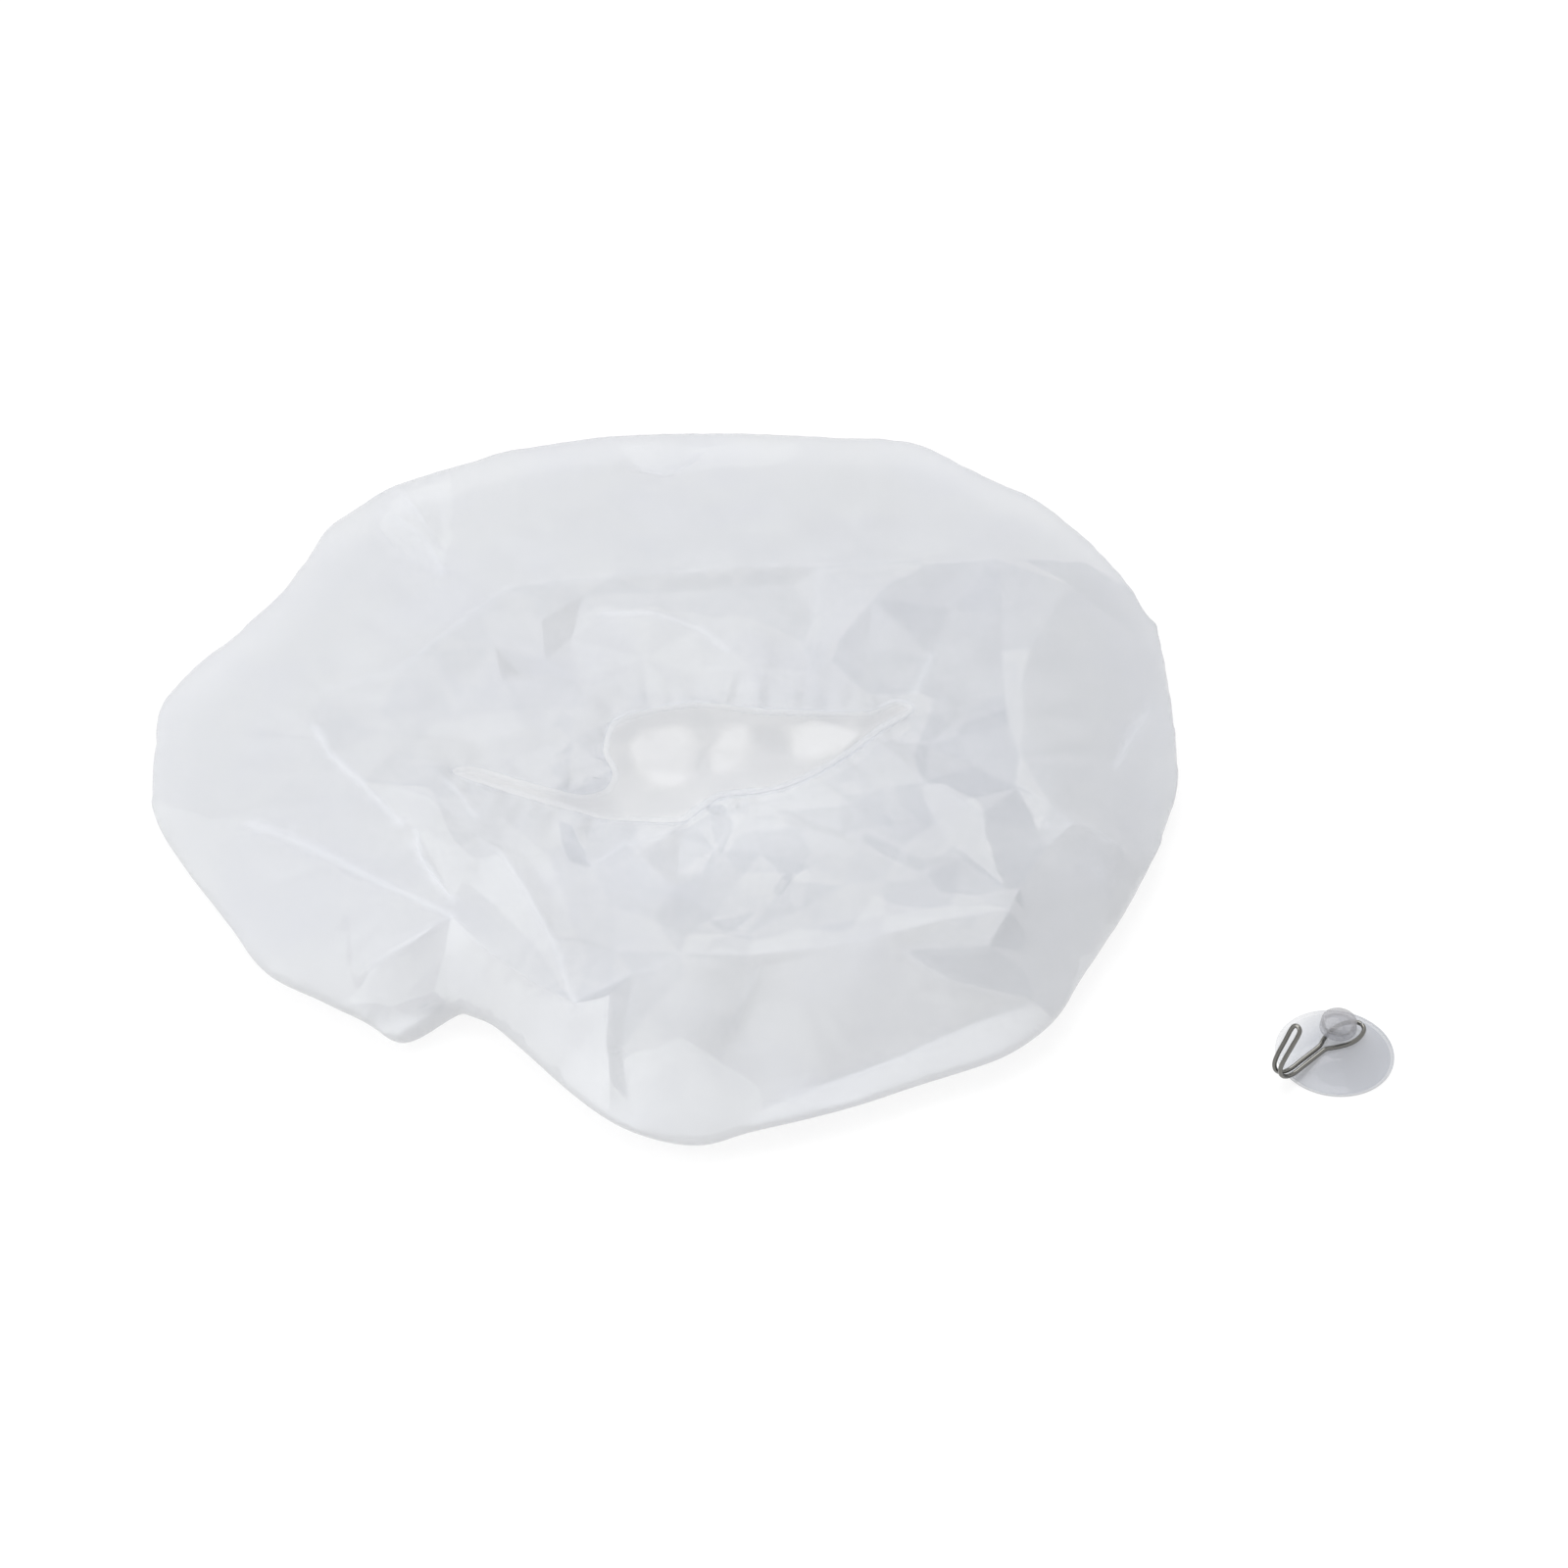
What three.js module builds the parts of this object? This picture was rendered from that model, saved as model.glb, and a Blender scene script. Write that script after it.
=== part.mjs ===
// Gathered film shower cap, lying crown down with its elastic mouth upward, and the wire hook
// on a suction cup that it is hung up by.
// Millimetres, +Z up. The origin is the middle of the crown, on the surface that the cap lies on.
import * as THREE from 'three';

// Driving dimensions of the cap
const capHalfWidth = 178;      // the cap as it lies, from the crown's middle to its side
const filmWall = 0.6;          // the film itself is far thinner; this is its folded, crumpled bulk
const foldHeight = 12;         // height of the outer fold, which is the cap's outline from above
const ridgeHeight = 39;        // highest line of the film round the mouth
const mouthHeight = 27;        // middle of the hem above the surface
const sagDepth = 5;            // how far the film hangs between the ridge and the hem
const pleatDepth = 3.4;        // gathers beside the hem, crest to trough
const columns = 62;            // facets round the cap

// Hem and elastic
const hemRadius = 1.7;         // outside of the rolled hem
const hemWall = 0.35;
const elasticRadius = 0.8;
const seatGap = 0.3;           // running clearance where one piece lies against another
const filmSeat = 0.7;          // the same between the film's facets and the hem's

// Suction cup
const cupRadius = 19;
const cupX = 217.5;            // where the cup lies beside the cap
const cupY = -129.5;
const bossHeight = 5.8;        // flat top of the dome, under the neck
const domeHollow = 3.2;        // depth of the hollow under the dome
const rimWidth = 1.1;          // flat ring that seals on the wall or shelf
const rimThickness = 1;
const neckRadius = 2.6;
const neckHeight = 5.8;
const collarRadius = 6;        // lower, wider disc of the knob
const collarHeight = 1.4;
const knobRadius = 5.7;
const knobHeight = 3.1;

// Wire hook
const wireRadius = 0.75;
const legSpacing = 2.1;        // between the middles of the two legs
const tipSpacing = 3.2;
const eyeBack = 11;            // middle of the wire behind the neck's axis
const eyeHalfWidth = 4.1;
const eyeGap = 0.3;            // between the two cut ends of the wire
const legEndX = 17.5;          // where the legs end and the bend begins, from the neck's axis
const legEndHeight = 3.6;
const bendRadius = 6.5;
const tipLength = 10.5;
const tipLean = THREE.MathUtils.degToRad(120);
const hookAzimuth = THREE.MathUtils.degToRad(216);

// Plan of the cap: degrees about the origin, then the radius as a share of capHalfWidth.
// The deep notch near 243 degrees parts the small lobe from the large one.
const outlineShares = [
  [0, 1.0], [17, 1.026], [37, 1.092], [54, 1.117], [66, 1.15], [80, 1.066], [91, 1.056],
  [114, 1.046], [128, 1.042], [144, 0.955], [156, 0.943], [172, 1.013], [186, 0.989],
  [208, 0.925], [226, 0.884], [237, 0.88], [242, 0.765], [246, 0.762], [253, 0.804],
  [262, 0.908], [271, 0.991], [277, 1.002], [281, 0.978], [290, 0.968], [302, 0.982],
  [316, 1.003], [333, 0.971], [350, 0.985],
];

// Ridge round the mouth: degrees, radius share, share of ridgeHeight.
const ridgeShares = [
  [1, 0.648, 1.0], [20, 0.72, 0.86], [34, 0.79, 0.74], [45, 0.61, 0.92], [77, 0.4, 1.0],
  [105, 0.41, 0.97], [134, 0.466, 0.9], [148, 0.489, 0.96], [169, 0.52, 0.95],
  [178, 0.664, 0.86], [197, 0.628, 0.88], [212, 0.54, 0.96], [237, 0.566, 0.94],
  [252, 0.68, 0.84], [260, 0.78, 0.76], [267, 0.742, 0.9], [274, 0.69, 1.0],
  [293, 0.73, 1.0], [307, 0.77, 0.94], [318, 0.85, 0.8], [330, 0.8, 0.86], [345, 0.694, 1.0],
];

// Hem of the mouth: degrees, X share, Y share, share of mouthHeight. The loop is open on the right
// and drawn together to a narrow tail on the left.
const mouthShares = [
  [2, 0.452, 0.002, 1.13], [16, 0.475, 0.026, 1.14], [30, 0.446, 0.045, 1.13],
  [46, 0.387, 0.018, 1.1], [62, 0.295, 0.026, 1.06], [80, 0.19, 0.034, 1.04],
  [100, 0.06, 0.052, 1.06], [116, -0.045, 0.03, 1.04], [128, -0.1, -0.006, 1.04],
  [137, -0.111, -0.077, 1.03], [145, -0.09, -0.145, 1.03], [152, -0.104, -0.193, 1.03],
  [160, -0.148, -0.212, 1.04], [168, -0.215, -0.192, 1.06], [175.5, -0.292, -0.161, 1.08],
  [184, -0.362, -0.13, 1.1], [195, -0.402, -0.151, 1.1], [206, -0.37, -0.176, 1.09],
  [222, -0.225, -0.226, 1.06], [240, -0.075, -0.272, 1.02], [256, 0.03, -0.272, 1.0],
  [268, 0.07, -0.236, 1.0], [279, 0.115, -0.2, 1.0], [296, 0.205, -0.187, 1.01],
  [318, 0.335, -0.105, 1.05], [342, 0.415, -0.026, 1.1],
];

// The film's rings from the crown to the outer fold: share of the outline, share of foldHeight.
const crownRingShares = [[0.84, 0], [0.955, 0.3], [1, 1]];
// From the outer fold in to the ridge: share of the way, share of the climb.
const wallRingShares = [[0.3, 0.52], [0.68, 0.84], [1, 1]];
// From the ridge in to the hem: share of the way, share of pleatDepth.
const funnelRingShares = [[0.3, 0.35], [0.62, 0.75], [0.86, 1]];

const film = new THREE.MeshStandardMaterial({
  color: 0xe3e6ea, roughness: 0.35, metalness: 0, transparent: true, opacity: 0.55,
});
const hemFilm = new THREE.MeshStandardMaterial({
  color: 0xeef0f2, roughness: 0.4, metalness: 0, transparent: true, opacity: 0.7,
});
const elastic = new THREE.MeshStandardMaterial({ color: 0xf4f4f1, roughness: 0.75, metalness: 0 });
const softVinyl = new THREE.MeshStandardMaterial({
  color: 0xb4bac6, roughness: 0.15, metalness: 0, transparent: true, opacity: 0.6,
});
const platedWire = new THREE.MeshStandardMaterial({ color: 0xa9a89f, roughness: 0.2, metalness: 1 });

const full = THREE.MathUtils.radToDeg(2 * Math.PI);
const mouthTip = 16;           // degrees; the mouth's two ends lie this way and about opposite
const crowding = 11;           // degrees by which the columns draw together towards those ends

const columnAngle = (index) => {
  const even = (index * full) / columns;
  return even - crowding * Math.sin(THREE.MathUtils.degToRad(2 * (even - mouthTip)));
};

// Value of a closed table at an angle in degrees, one number for each column after the first.
// Its curve never overshoots the rows, so flats stay flat and corners stay where they are.
function around(rows, degrees) {
  const count = rows.length;
  const at = ((degrees % full) + full) % full;
  const next = rows.findIndex((row) => row[0] > at);
  const high = next < 0 ? 0 : next;
  const row = (index) => {
    const turns = Math.floor(index / count);
    return rows[index - turns * count].map((v, column) => (column ? v : v + turns * full));
  };
  const start = next < 0 ? count - 1 : high - 1;
  const [before, from, to, after] = [-1, 0, 1, 2].map((step) => row(start + step));
  const span = to[0] - from[0];
  const share = (at - from[0]) / span;
  const slope = (a, b, c, column) => {
    const left = (b[column] - a[column]) / (b[0] - a[0]);
    const right = (c[column] - b[column]) / (c[0] - b[0]);
    return left * right > 0 ? (2 * left * right) / (left + right) : 0;
  };
  const eased = share * share * (3 - 2 * share);
  return from.slice(1).map((value, i) => {
    const column = i + 1;
    const out = slope(before, from, to, column) * span;
    const into = slope(from, to, after, column) * span;
    const rest = share - 1;
    return value + (to[column] - value) * eased + out * share * rest * rest
      + into * share * share * rest;
  });
}

const onRay = (degrees, radius, z) => {
  const angle = THREE.MathUtils.degToRad(degrees);
  return new THREE.Vector3(radius * Math.cos(angle), radius * Math.sin(angle), z);
};

// Middle of the hem at an angle of the mouth table.
function hemPoint(degrees) {
  const [x, y, z] = around(mouthShares, degrees);
  return new THREE.Vector3(x * capHalfWidth, y * capHalfWidth, z * mouthHeight);
}

// Level direction square to the hem, pointing away from the mouth.
function hemOutward(degrees) {
  const near = full / columns / 4;
  const along = hemPoint(degrees + near).sub(hemPoint(degrees - near));
  return new THREE.Vector3(along.y, -along.x, 0).normalize();
}

// One column of the film's outer face, from the crown's edge over the fold and ridge to the hem.
function filmColumn(index) {
  const degrees = columnAngle(index);
  const outline = around(outlineShares, degrees)[0] * capHalfWidth;
  const [ridgeShare, climb] = around(ridgeShares, degrees);
  const fold = onRay(degrees, outline, foldHeight);
  const ridge = onRay(degrees, ridgeShare * capHalfWidth, climb * ridgeHeight);
  const rim = hemPoint(degrees).addScaledVector(hemOutward(degrees), hemRadius + filmSeat);
  const crest = index % 2 ? -0.5 : 0.5;
  const points = crownRingShares.map(([reach, rise]) => (
    onRay(degrees, outline * reach, foldHeight * rise)));
  for (const [way, rise] of wallRingShares) {
    const point = fold.clone().lerp(ridge, way);
    point.z = THREE.MathUtils.lerp(fold.z, ridge.z, rise);
    points.push(point);
  }
  for (const [way, depth] of funnelRingShares) {
    const point = ridge.clone().lerp(rim, way);
    point.z += pleatDepth * depth * crest - sagDepth * 4 * way * (1 - way);
    points.push(point);
  }
  return [...points, rim];
}

// Closed shell of the film: outer face, the same face moved in by the wall, and the hem's edge.
// The crown is a flat polygon at both faces.
function filmGeometry() {
  const grid = Array.from({ length: columns }, (_, index) => filmColumn(index));
  const rings = grid[0].length;
  const outer = grid.flat();
  const faces = [];
  const band = (a, b) => {
    for (let i = 0; i < columns; i += 1) {
      const next = (i + 1) % columns;
      const corners = [a(i), a(next), b(next), b(i)];
      faces.push([corners[0], corners[1], corners[2]], [corners[0], corners[2], corners[3]]);
    }
  };
  for (let ring = 0; ring + 1 < rings; ring += 1) {
    band((i) => i * rings + ring, (i) => i * rings + ring + 1);
  }
  const inner = offsetInward(outer, faces, rings);
  const skin = faces.length;
  for (let k = 0; k < skin; k += 1) {
    const [a, b, c] = faces[k];
    faces.push([a + outer.length, c + outer.length, b + outer.length]);
  }
  const last = rings - 1;
  band((i) => i * rings + last, (i) => i * rings + last + outer.length);
  const crown = grid.map((points) => new THREE.Vector2(points[0].x, points[0].y));
  for (const [a, b, c] of THREE.ShapeUtils.triangulateShape(crown, [])) {
    faces.push([a * rings, c * rings, b * rings]);
    faces.push([a, b, c].map((corner) => corner * rings + outer.length));
  }
  return meshOf([...outer, ...inner], faces);
}

// Each point moved in along its averaged normal; the crown's edge moves straight up.
function offsetInward(points, faces, rings) {
  const skin = meshOf(points, faces);
  skin.computeVertexNormals();
  const normals = skin.getAttribute('normal');
  return points.map((point, index) => {
    if (index % rings === 0) return new THREE.Vector3(point.x, point.y, filmWall);
    const normal = new THREE.Vector3().fromBufferAttribute(normals, index);
    return point.clone().addScaledVector(normal, -filmWall);
  });
}

function meshOf(points, faces) {
  const geometry = new THREE.BufferGeometry();
  geometry.setAttribute('position', new THREE.Float32BufferAttribute(
    points.flatMap((point) => point.toArray()), 3));
  geometry.setIndex(faces.flat());
  return geometry;
}

// A closed ring that follows the hem. The section's points are [outward, up] from its middle,
// listed once round.
function alongHem(section) {
  const points = [];
  const faces = [];
  const size = section.length;
  for (let step = 0; step < columns; step += 1) {
    const degrees = columnAngle(step);
    const middle = hemPoint(degrees);
    const outward = hemOutward(degrees);
    for (const [across, up] of section) {
      const point = middle.clone().addScaledVector(outward, across);
      point.z += up;
      points.push(point);
    }
    const here = step * size;
    const there = ((step + 1) % columns) * size;
    for (let k = 0; k < size; k += 1) {
      const side = (k + 1) % size;
      faces.push([here + k, there + k, there + side], [here + k, there + side, here + side]);
    }
  }
  return meshOf(points, faces);
}

const arcPoints = (radius, from, to, steps) => Array.from({ length: steps + 1 }, (_, k) => {
  const angle = from + ((to - from) * k) / steps;
  return [radius * Math.cos(angle), radius * Math.sin(angle)];
});

// The hem is the film's own edge rolled once round the elastic. Its lip stays open by a slit on
// the side of the film, where it is welded down.
function hemGeometry() {
  const slit = THREE.MathUtils.degToRad(16);
  const outside = arcPoints(hemRadius, slit, 2 * Math.PI - slit, 8);
  const inside = arcPoints(hemRadius - hemWall, 2 * Math.PI - slit, slit, 8);
  return alongHem([...outside, ...inside]);
}

function elasticGeometry() {
  return alongHem(arcPoints(elasticRadius, 0, 2 * Math.PI, 6).slice(0, -1));
}

// Dome of the cup, rim to boss: share of the way in, share of the climb.
const domeShares = [[0.05, 0.06], [0.22, 0.16], [0.42, 0.33], [0.62, 0.55], [0.82, 0.83], [0.94, 0.97]];
const hollowShares = [[0.35, 0.93], [0.66, 0.62], [0.88, 0.24]];

function cupGeometry() {
  const sealRadius = cupRadius - rimWidth;
  const bossRadius = collarRadius * 0.92;
  const collarBase = bossHeight + neckHeight;
  const collarTop = collarBase + collarHeight;
  const fillet = neckRadius * 0.12;
  const profile = [[0, domeHollow]];
  for (const [reach, rise] of hollowShares) {
    profile.push([sealRadius * reach, domeHollow * rise]);
  }
  profile.push([sealRadius, 0], [cupRadius, 0], [cupRadius, rimThickness * 0.6]);
  for (const [way, rise] of domeShares) {
    profile.push([THREE.MathUtils.lerp(cupRadius, bossRadius, way),
      THREE.MathUtils.lerp(rimThickness, bossHeight, rise)]);
  }
  profile.push([bossRadius, bossHeight], [neckRadius + fillet, bossHeight]);
  profile.push([neckRadius, bossHeight + fillet], [neckRadius, collarBase - fillet]);
  profile.push([neckRadius + fillet, collarBase], [collarRadius * 0.93, collarBase]);
  profile.push([collarRadius, collarBase + collarHeight * 0.25]);
  profile.push([collarRadius, collarTop - collarHeight * 0.45]);
  profile.push([collarRadius * 0.93, collarTop - collarHeight * 0.12], [knobRadius, collarTop]);
  const top = arcPoints(1, 0.15 * Math.PI, 0.5 * Math.PI, 4);
  for (const [reach, rise] of top) {
    profile.push([reach * knobRadius, collarTop + rise * knobHeight]);
  }
  profile[profile.length - 1][0] = 0;
  const turned = new THREE.LatheGeometry(profile.map(([r, z]) => new THREE.Vector2(r, z)), 40);
  return turned.rotateX(Math.PI / 2);
}

// Half of the bent wire, from its cut end behind the neck, round the eye, down the leg, round the
// bend and up to the tip. +X points from the neck along the legs.
function halfWire() {
  const eyeHeight = bossHeight + seatGap + wireRadius;
  const eyeFront = neckRadius + wireRadius + seatGap;
  const middle = (eyeFront - eyeBack) / 2;
  const halfLength = (eyeFront + eyeBack) / 2;
  const points = [];
  const cutAngle = Math.PI - Math.asin(eyeGap / 2 / eyeHalfWidth) - Math.asin(wireRadius / eyeHalfWidth);
  for (const [x, y] of arcPoints(1, cutAngle, 0.3 * Math.PI, 7)) {
    points.push(new THREE.Vector3(middle + x * halfLength, y * eyeHalfWidth, eyeHeight));
  }
  const halfLeg = legSpacing / 2;
  points.push(new THREE.Vector3(eyeFront, halfLeg * 2.1, eyeHeight));
  points.push(new THREE.Vector3(eyeFront + wireRadius * 2.6, halfLeg * 1.15, eyeHeight - wireRadius * 0.2));
  const dip = Math.atan2(eyeHeight - legEndHeight, legEndX - eyeFront);
  const bendX = legEndX + bendRadius * Math.sin(dip);
  const bendZ = legEndHeight + bendRadius * Math.cos(dip);
  const legStart = new THREE.Vector3(eyeFront + wireRadius * 5, halfLeg, eyeHeight - wireRadius * 0.9);
  const legEnd = new THREE.Vector3(legEndX, halfLeg, legEndHeight);
  for (const way of [0, 0.33, 0.67]) points.push(legStart.clone().lerp(legEnd, way));
  const widen = (tipSpacing - legSpacing) / 2;
  const first = -Math.PI / 2 - dip;
  const arc = arcPoints(bendRadius, first, tipLean - Math.PI / 2, 6);
  arc.forEach(([x, z], k) => {
    points.push(new THREE.Vector3(bendX + x, halfLeg + (widen * k) / arc.length, bendZ + z));
  });
  const up = new THREE.Vector3(Math.cos(tipLean), 0, Math.sin(tipLean));
  const top = points.at(-1).clone().setY(tipSpacing / 2);
  for (const way of [0.5, 1]) points.push(top.clone().addScaledVector(up, tipLength * way));
  const turnMiddle = points.at(-1).clone().setY(0);
  for (const [across, rise] of arcPoints(tipSpacing / 2, Math.PI / 6, Math.PI / 3, 1)) {
    const point = turnMiddle.clone().addScaledVector(up, rise);
    point.y = across;
    points.push(point);
  }
  return { points, apex: turnMiddle.clone().addScaledVector(up, tipSpacing / 2) };
}

function wireGeometry() {
  const { points, apex } = halfWire();
  const mirrored = points.map((point) => new THREE.Vector3(point.x, -point.y, point.z)).reverse();
  const path = new THREE.CatmullRomCurve3([...points, apex, ...mirrored], false, 'centripetal');
  const section = new THREE.Shape().absarc(0, 0, wireRadius, 0, 2 * Math.PI, false);
  return new THREE.ExtrudeGeometry(section, {
    steps: 120, curveSegments: 8, bevelEnabled: false, extrudePath: path,
  });
}

function piece(name, geometry, material) {
  const mesh = new THREE.Mesh(geometry, material);
  mesh.name = name;
  return mesh;
}

const showerCap = new THREE.Group();
showerCap.add(piece('film_cap', filmGeometry(), film));
showerCap.add(piece('hem_casing', hemGeometry(), hemFilm));
showerCap.add(piece('elastic_loop', elasticGeometry(), elastic));

const hangingHook = new THREE.Group();
hangingHook.position.set(cupX, cupY, 0);
hangingHook.add(piece('suction_cup', cupGeometry(), softVinyl));
const swivel = new THREE.Group();
swivel.rotation.z = hookAzimuth;
swivel.add(piece('wire_hook', wireGeometry(), platedWire));
hangingHook.add(swivel);

const object = new THREE.Group();
object.add(showerCap, hangingHook);

export default object;
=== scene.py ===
"""A clear film shower cap lying crown down, mouth up, beside its wire hook on a suction cup.

Blender units are metres. The tables and sizes of the object are in millimetres, as it was
measured, and each mesh is scaled once, by MM, when it is made.
"""
import math
import random

import bmesh
import bpy
import numpy as np
from mathutils import Matrix, Vector, geometry, noise


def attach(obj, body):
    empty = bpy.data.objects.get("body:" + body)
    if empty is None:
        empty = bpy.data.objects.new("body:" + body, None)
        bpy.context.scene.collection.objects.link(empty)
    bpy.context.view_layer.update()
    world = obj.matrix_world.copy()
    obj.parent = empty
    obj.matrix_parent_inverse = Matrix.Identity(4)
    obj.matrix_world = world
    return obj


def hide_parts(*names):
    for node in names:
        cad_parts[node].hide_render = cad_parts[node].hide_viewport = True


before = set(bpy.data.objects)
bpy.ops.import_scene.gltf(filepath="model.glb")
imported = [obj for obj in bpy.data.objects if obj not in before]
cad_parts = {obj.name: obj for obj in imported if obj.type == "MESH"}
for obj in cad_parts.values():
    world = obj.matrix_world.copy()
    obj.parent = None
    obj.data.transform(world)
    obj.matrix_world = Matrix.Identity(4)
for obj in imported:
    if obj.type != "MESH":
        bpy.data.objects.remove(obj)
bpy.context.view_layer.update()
MM = 0.001
TURN = 2 * math.pi

# Camera of the photograph
CAMERA_ELEVATION = math.radians(42)
CAMERA_DISTANCE = 1.285
CAMERA_TARGET = (0.0408, 0, 0)
CAMERA_LENS = 85
SENSOR = 36
CAMERA_REACH = 20

# Cap, in millimetres
HALF_WIDTH = 178
FOLD_HEIGHT = 12
RIDGE_HEIGHT = 39
MOUTH_HEIGHT = 27
SAG_DEPTH = 5
WALL_BULGE = 1.7
FILM_WALL = 0.16
UNDER_LIFT = FILM_WALL * 0.2
HEM_RADIUS = 1.6
HEM_WALL = 0.3
HEM_TANGENT_STEP = 1.4
RIM_SHARE = 0.55
ELASTIC_RADIUS = 0.8

# Cup and hook, in millimetres
CUP_X, CUP_Y = 217.5, -129.5
CUP_RADIUS = 19
BOSS_HEIGHT = 5.8
DOME_HOLLOW = 3.2
RIM_WIDTH = 1.1
RIM_THICKNESS = 1
NECK_RADIUS = 2.6
NECK_HEIGHT = 5.8
COLLAR_RADIUS = 6
COLLAR_HEIGHT = 1.4
KNOB_RADIUS = 5.7
KNOB_HEIGHT = 3.1
WIRE_RADIUS = 0.75
LEG_SPACING = 2.1
TIP_SPACING = 3.2
EYE_BACK = 11
EYE_HALF_WIDTH = 4.1
EYE_GAP = 0.3
SEAT_GAP = 0.3
LEG_END_X = 17.5
LEG_END_HEIGHT = 3.6
BEND_RADIUS = 6.5
TIP_LENGTH = 10.5
TIP_LEAN = math.radians(120)
HOOK_AZIMUTH = math.radians(216)

# Studio: floor in metres, its glow, the world's and what gloss adds to it, and the lamps, each
# with its name, place, size and watts
FLOOR_SIZE = 30
FLOOR_GLOW = 0.72
WORLD_GLOW = 0.7
MIRRORED_GLOW = 0.25
LAMPS = [("key_lamp", (-1.2, -0.3, 0.9), 0.8, 8), ("top_lamp", (-0.1, 0.5, 1.4), 1.2, 12)]

# Plan of the cap: degrees about the origin, then the radius as a share of HALF_WIDTH.
OUTLINE = [
    (6, 0.997), (16, 1.031), (24, 1.058), (30, 1.071), (37, 1.099), (44, 1.109), (48, 1.117), (53.5, 1.119),
    (60, 1.139), (64, 1.152), (67, 1.134), (73, 1.091), (78, 1.074), (87, 1.061), (94, 1.054), (107, 1.055),
    (115, 1.051), (124.6, 1.056), (132, 1.032), (135.2, 1.029), (138.6, 0.998), (144, 0.958), (149, 0.941),
    (155, 0.95), (165, 0.992), (171, 1.011), (177, 0.997), (190, 0.98), (196, 0.954), (203.5, 0.926),
    (211, 0.915), (215.4, 0.919), (219.5, 0.918), (224, 0.893), (229, 0.879), (232.6, 0.872), (235, 0.874),
    (237, 0.88), (238.6, 0.874), (239.4, 0.85), (240, 0.79), (241.6, 0.756), (245, 0.756), (252, 0.795),
    (258.7, 0.863), (262.7, 0.91), (266, 0.949), (270.4, 0.982), (275, 1.002), (277.3, 0.995), (279, 0.98),
    (284, 0.972), (290, 0.969), (297, 0.969), (303.5, 0.983), (310, 1.003), (315.5, 1.0), (322, 0.972),
    (332, 0.957), (342, 0.959), (349, 0.973), (356, 0.986),
]
# Ridge round the mouth: degrees, radius share, share of RIDGE_HEIGHT.
RIDGE = [
    (1, 0.648, 0.95), (20, 0.7, 0.9), (34, 0.79, 0.82), (45, 0.61, 0.93), (77, 0.4, 0.98),
    (105, 0.41, 0.97), (134, 0.466, 0.93), (148, 0.489, 0.92), (169, 0.52, 0.89), (178, 0.664, 0.84),
    (197, 0.628, 0.85), (212, 0.54, 0.9), (237, 0.566, 0.86), (252, 0.68, 0.8), (260, 0.78, 0.8),
    (267, 0.742, 0.9), (274, 0.69, 0.98), (293, 0.73, 0.98), (307, 0.77, 0.94), (318, 0.85, 0.86),
    (330, 0.8, 0.88), (345, 0.694, 0.94),
]
# Hem of the mouth: degrees, X share, Y share, share of MOUTH_HEIGHT. The loop is open on the right
# and drawn together to a narrow tail on the left.
MOUTH = [
    (2, 0.452, 0.002, 1.13), (16, 0.475, 0.026, 1.14), (30, 0.446, 0.045, 1.13), (46, 0.387, 0.018, 1.1),
    (62, 0.295, 0.026, 1.06), (80, 0.19, 0.034, 1.04), (100, 0.06, 0.052, 1.06), (116, -0.045, 0.03, 1.04),
    (128, -0.1, -0.006, 1.04), (137, -0.111, -0.077, 1.03), (145, -0.09, -0.145, 1.03),
    (152, -0.104, -0.193, 1.03), (160, -0.148, -0.212, 1.04), (168, -0.215, -0.194, 1.06),
    (175.5, -0.292, -0.166, 1.08), (184, -0.362, -0.139, 1.1), (195, -0.398, -0.15, 1.1),
    (206, -0.366, -0.167, 1.09), (222, -0.225, -0.223, 1.06), (240, -0.075, -0.272, 1.02),
    (256, 0.03, -0.272, 1.0), (268, 0.07, -0.236, 1.0), (279, 0.115, -0.2, 1.0), (296, 0.205, -0.187, 1.01),
    (318, 0.335, -0.105, 1.05), (342, 0.415, -0.026, 1.1),
]
# How milky the hem looks, from 0 to 1, where its gathers bunch, with a painted highlight on its near side,
# where it is highest: degrees, amount.
HEM_MILK_AND_HIGHLIGHT = [
    (2, 0.6), (16, 0.5), (30, 0.5), (46, 0.15), (60, 0.6), (78, 0.6), (90, 0.1), (104, 0.6), (118, 0.4),
    (128, 0.5), (140, 0.2), (152, 0.05), (170, 0.1), (184, 0.2), (200, 0.1), (215, 0.15), (240, 0.1),
    (254, 0.5), (270, 1), (300, 1), (342, 0.9),
]
# The cap's columns crowd together, by CROWDING degrees, towards the mouth's tip at MOUTH_TIP.
MOUTH_TIP = 16
CROWDING = 11
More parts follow.
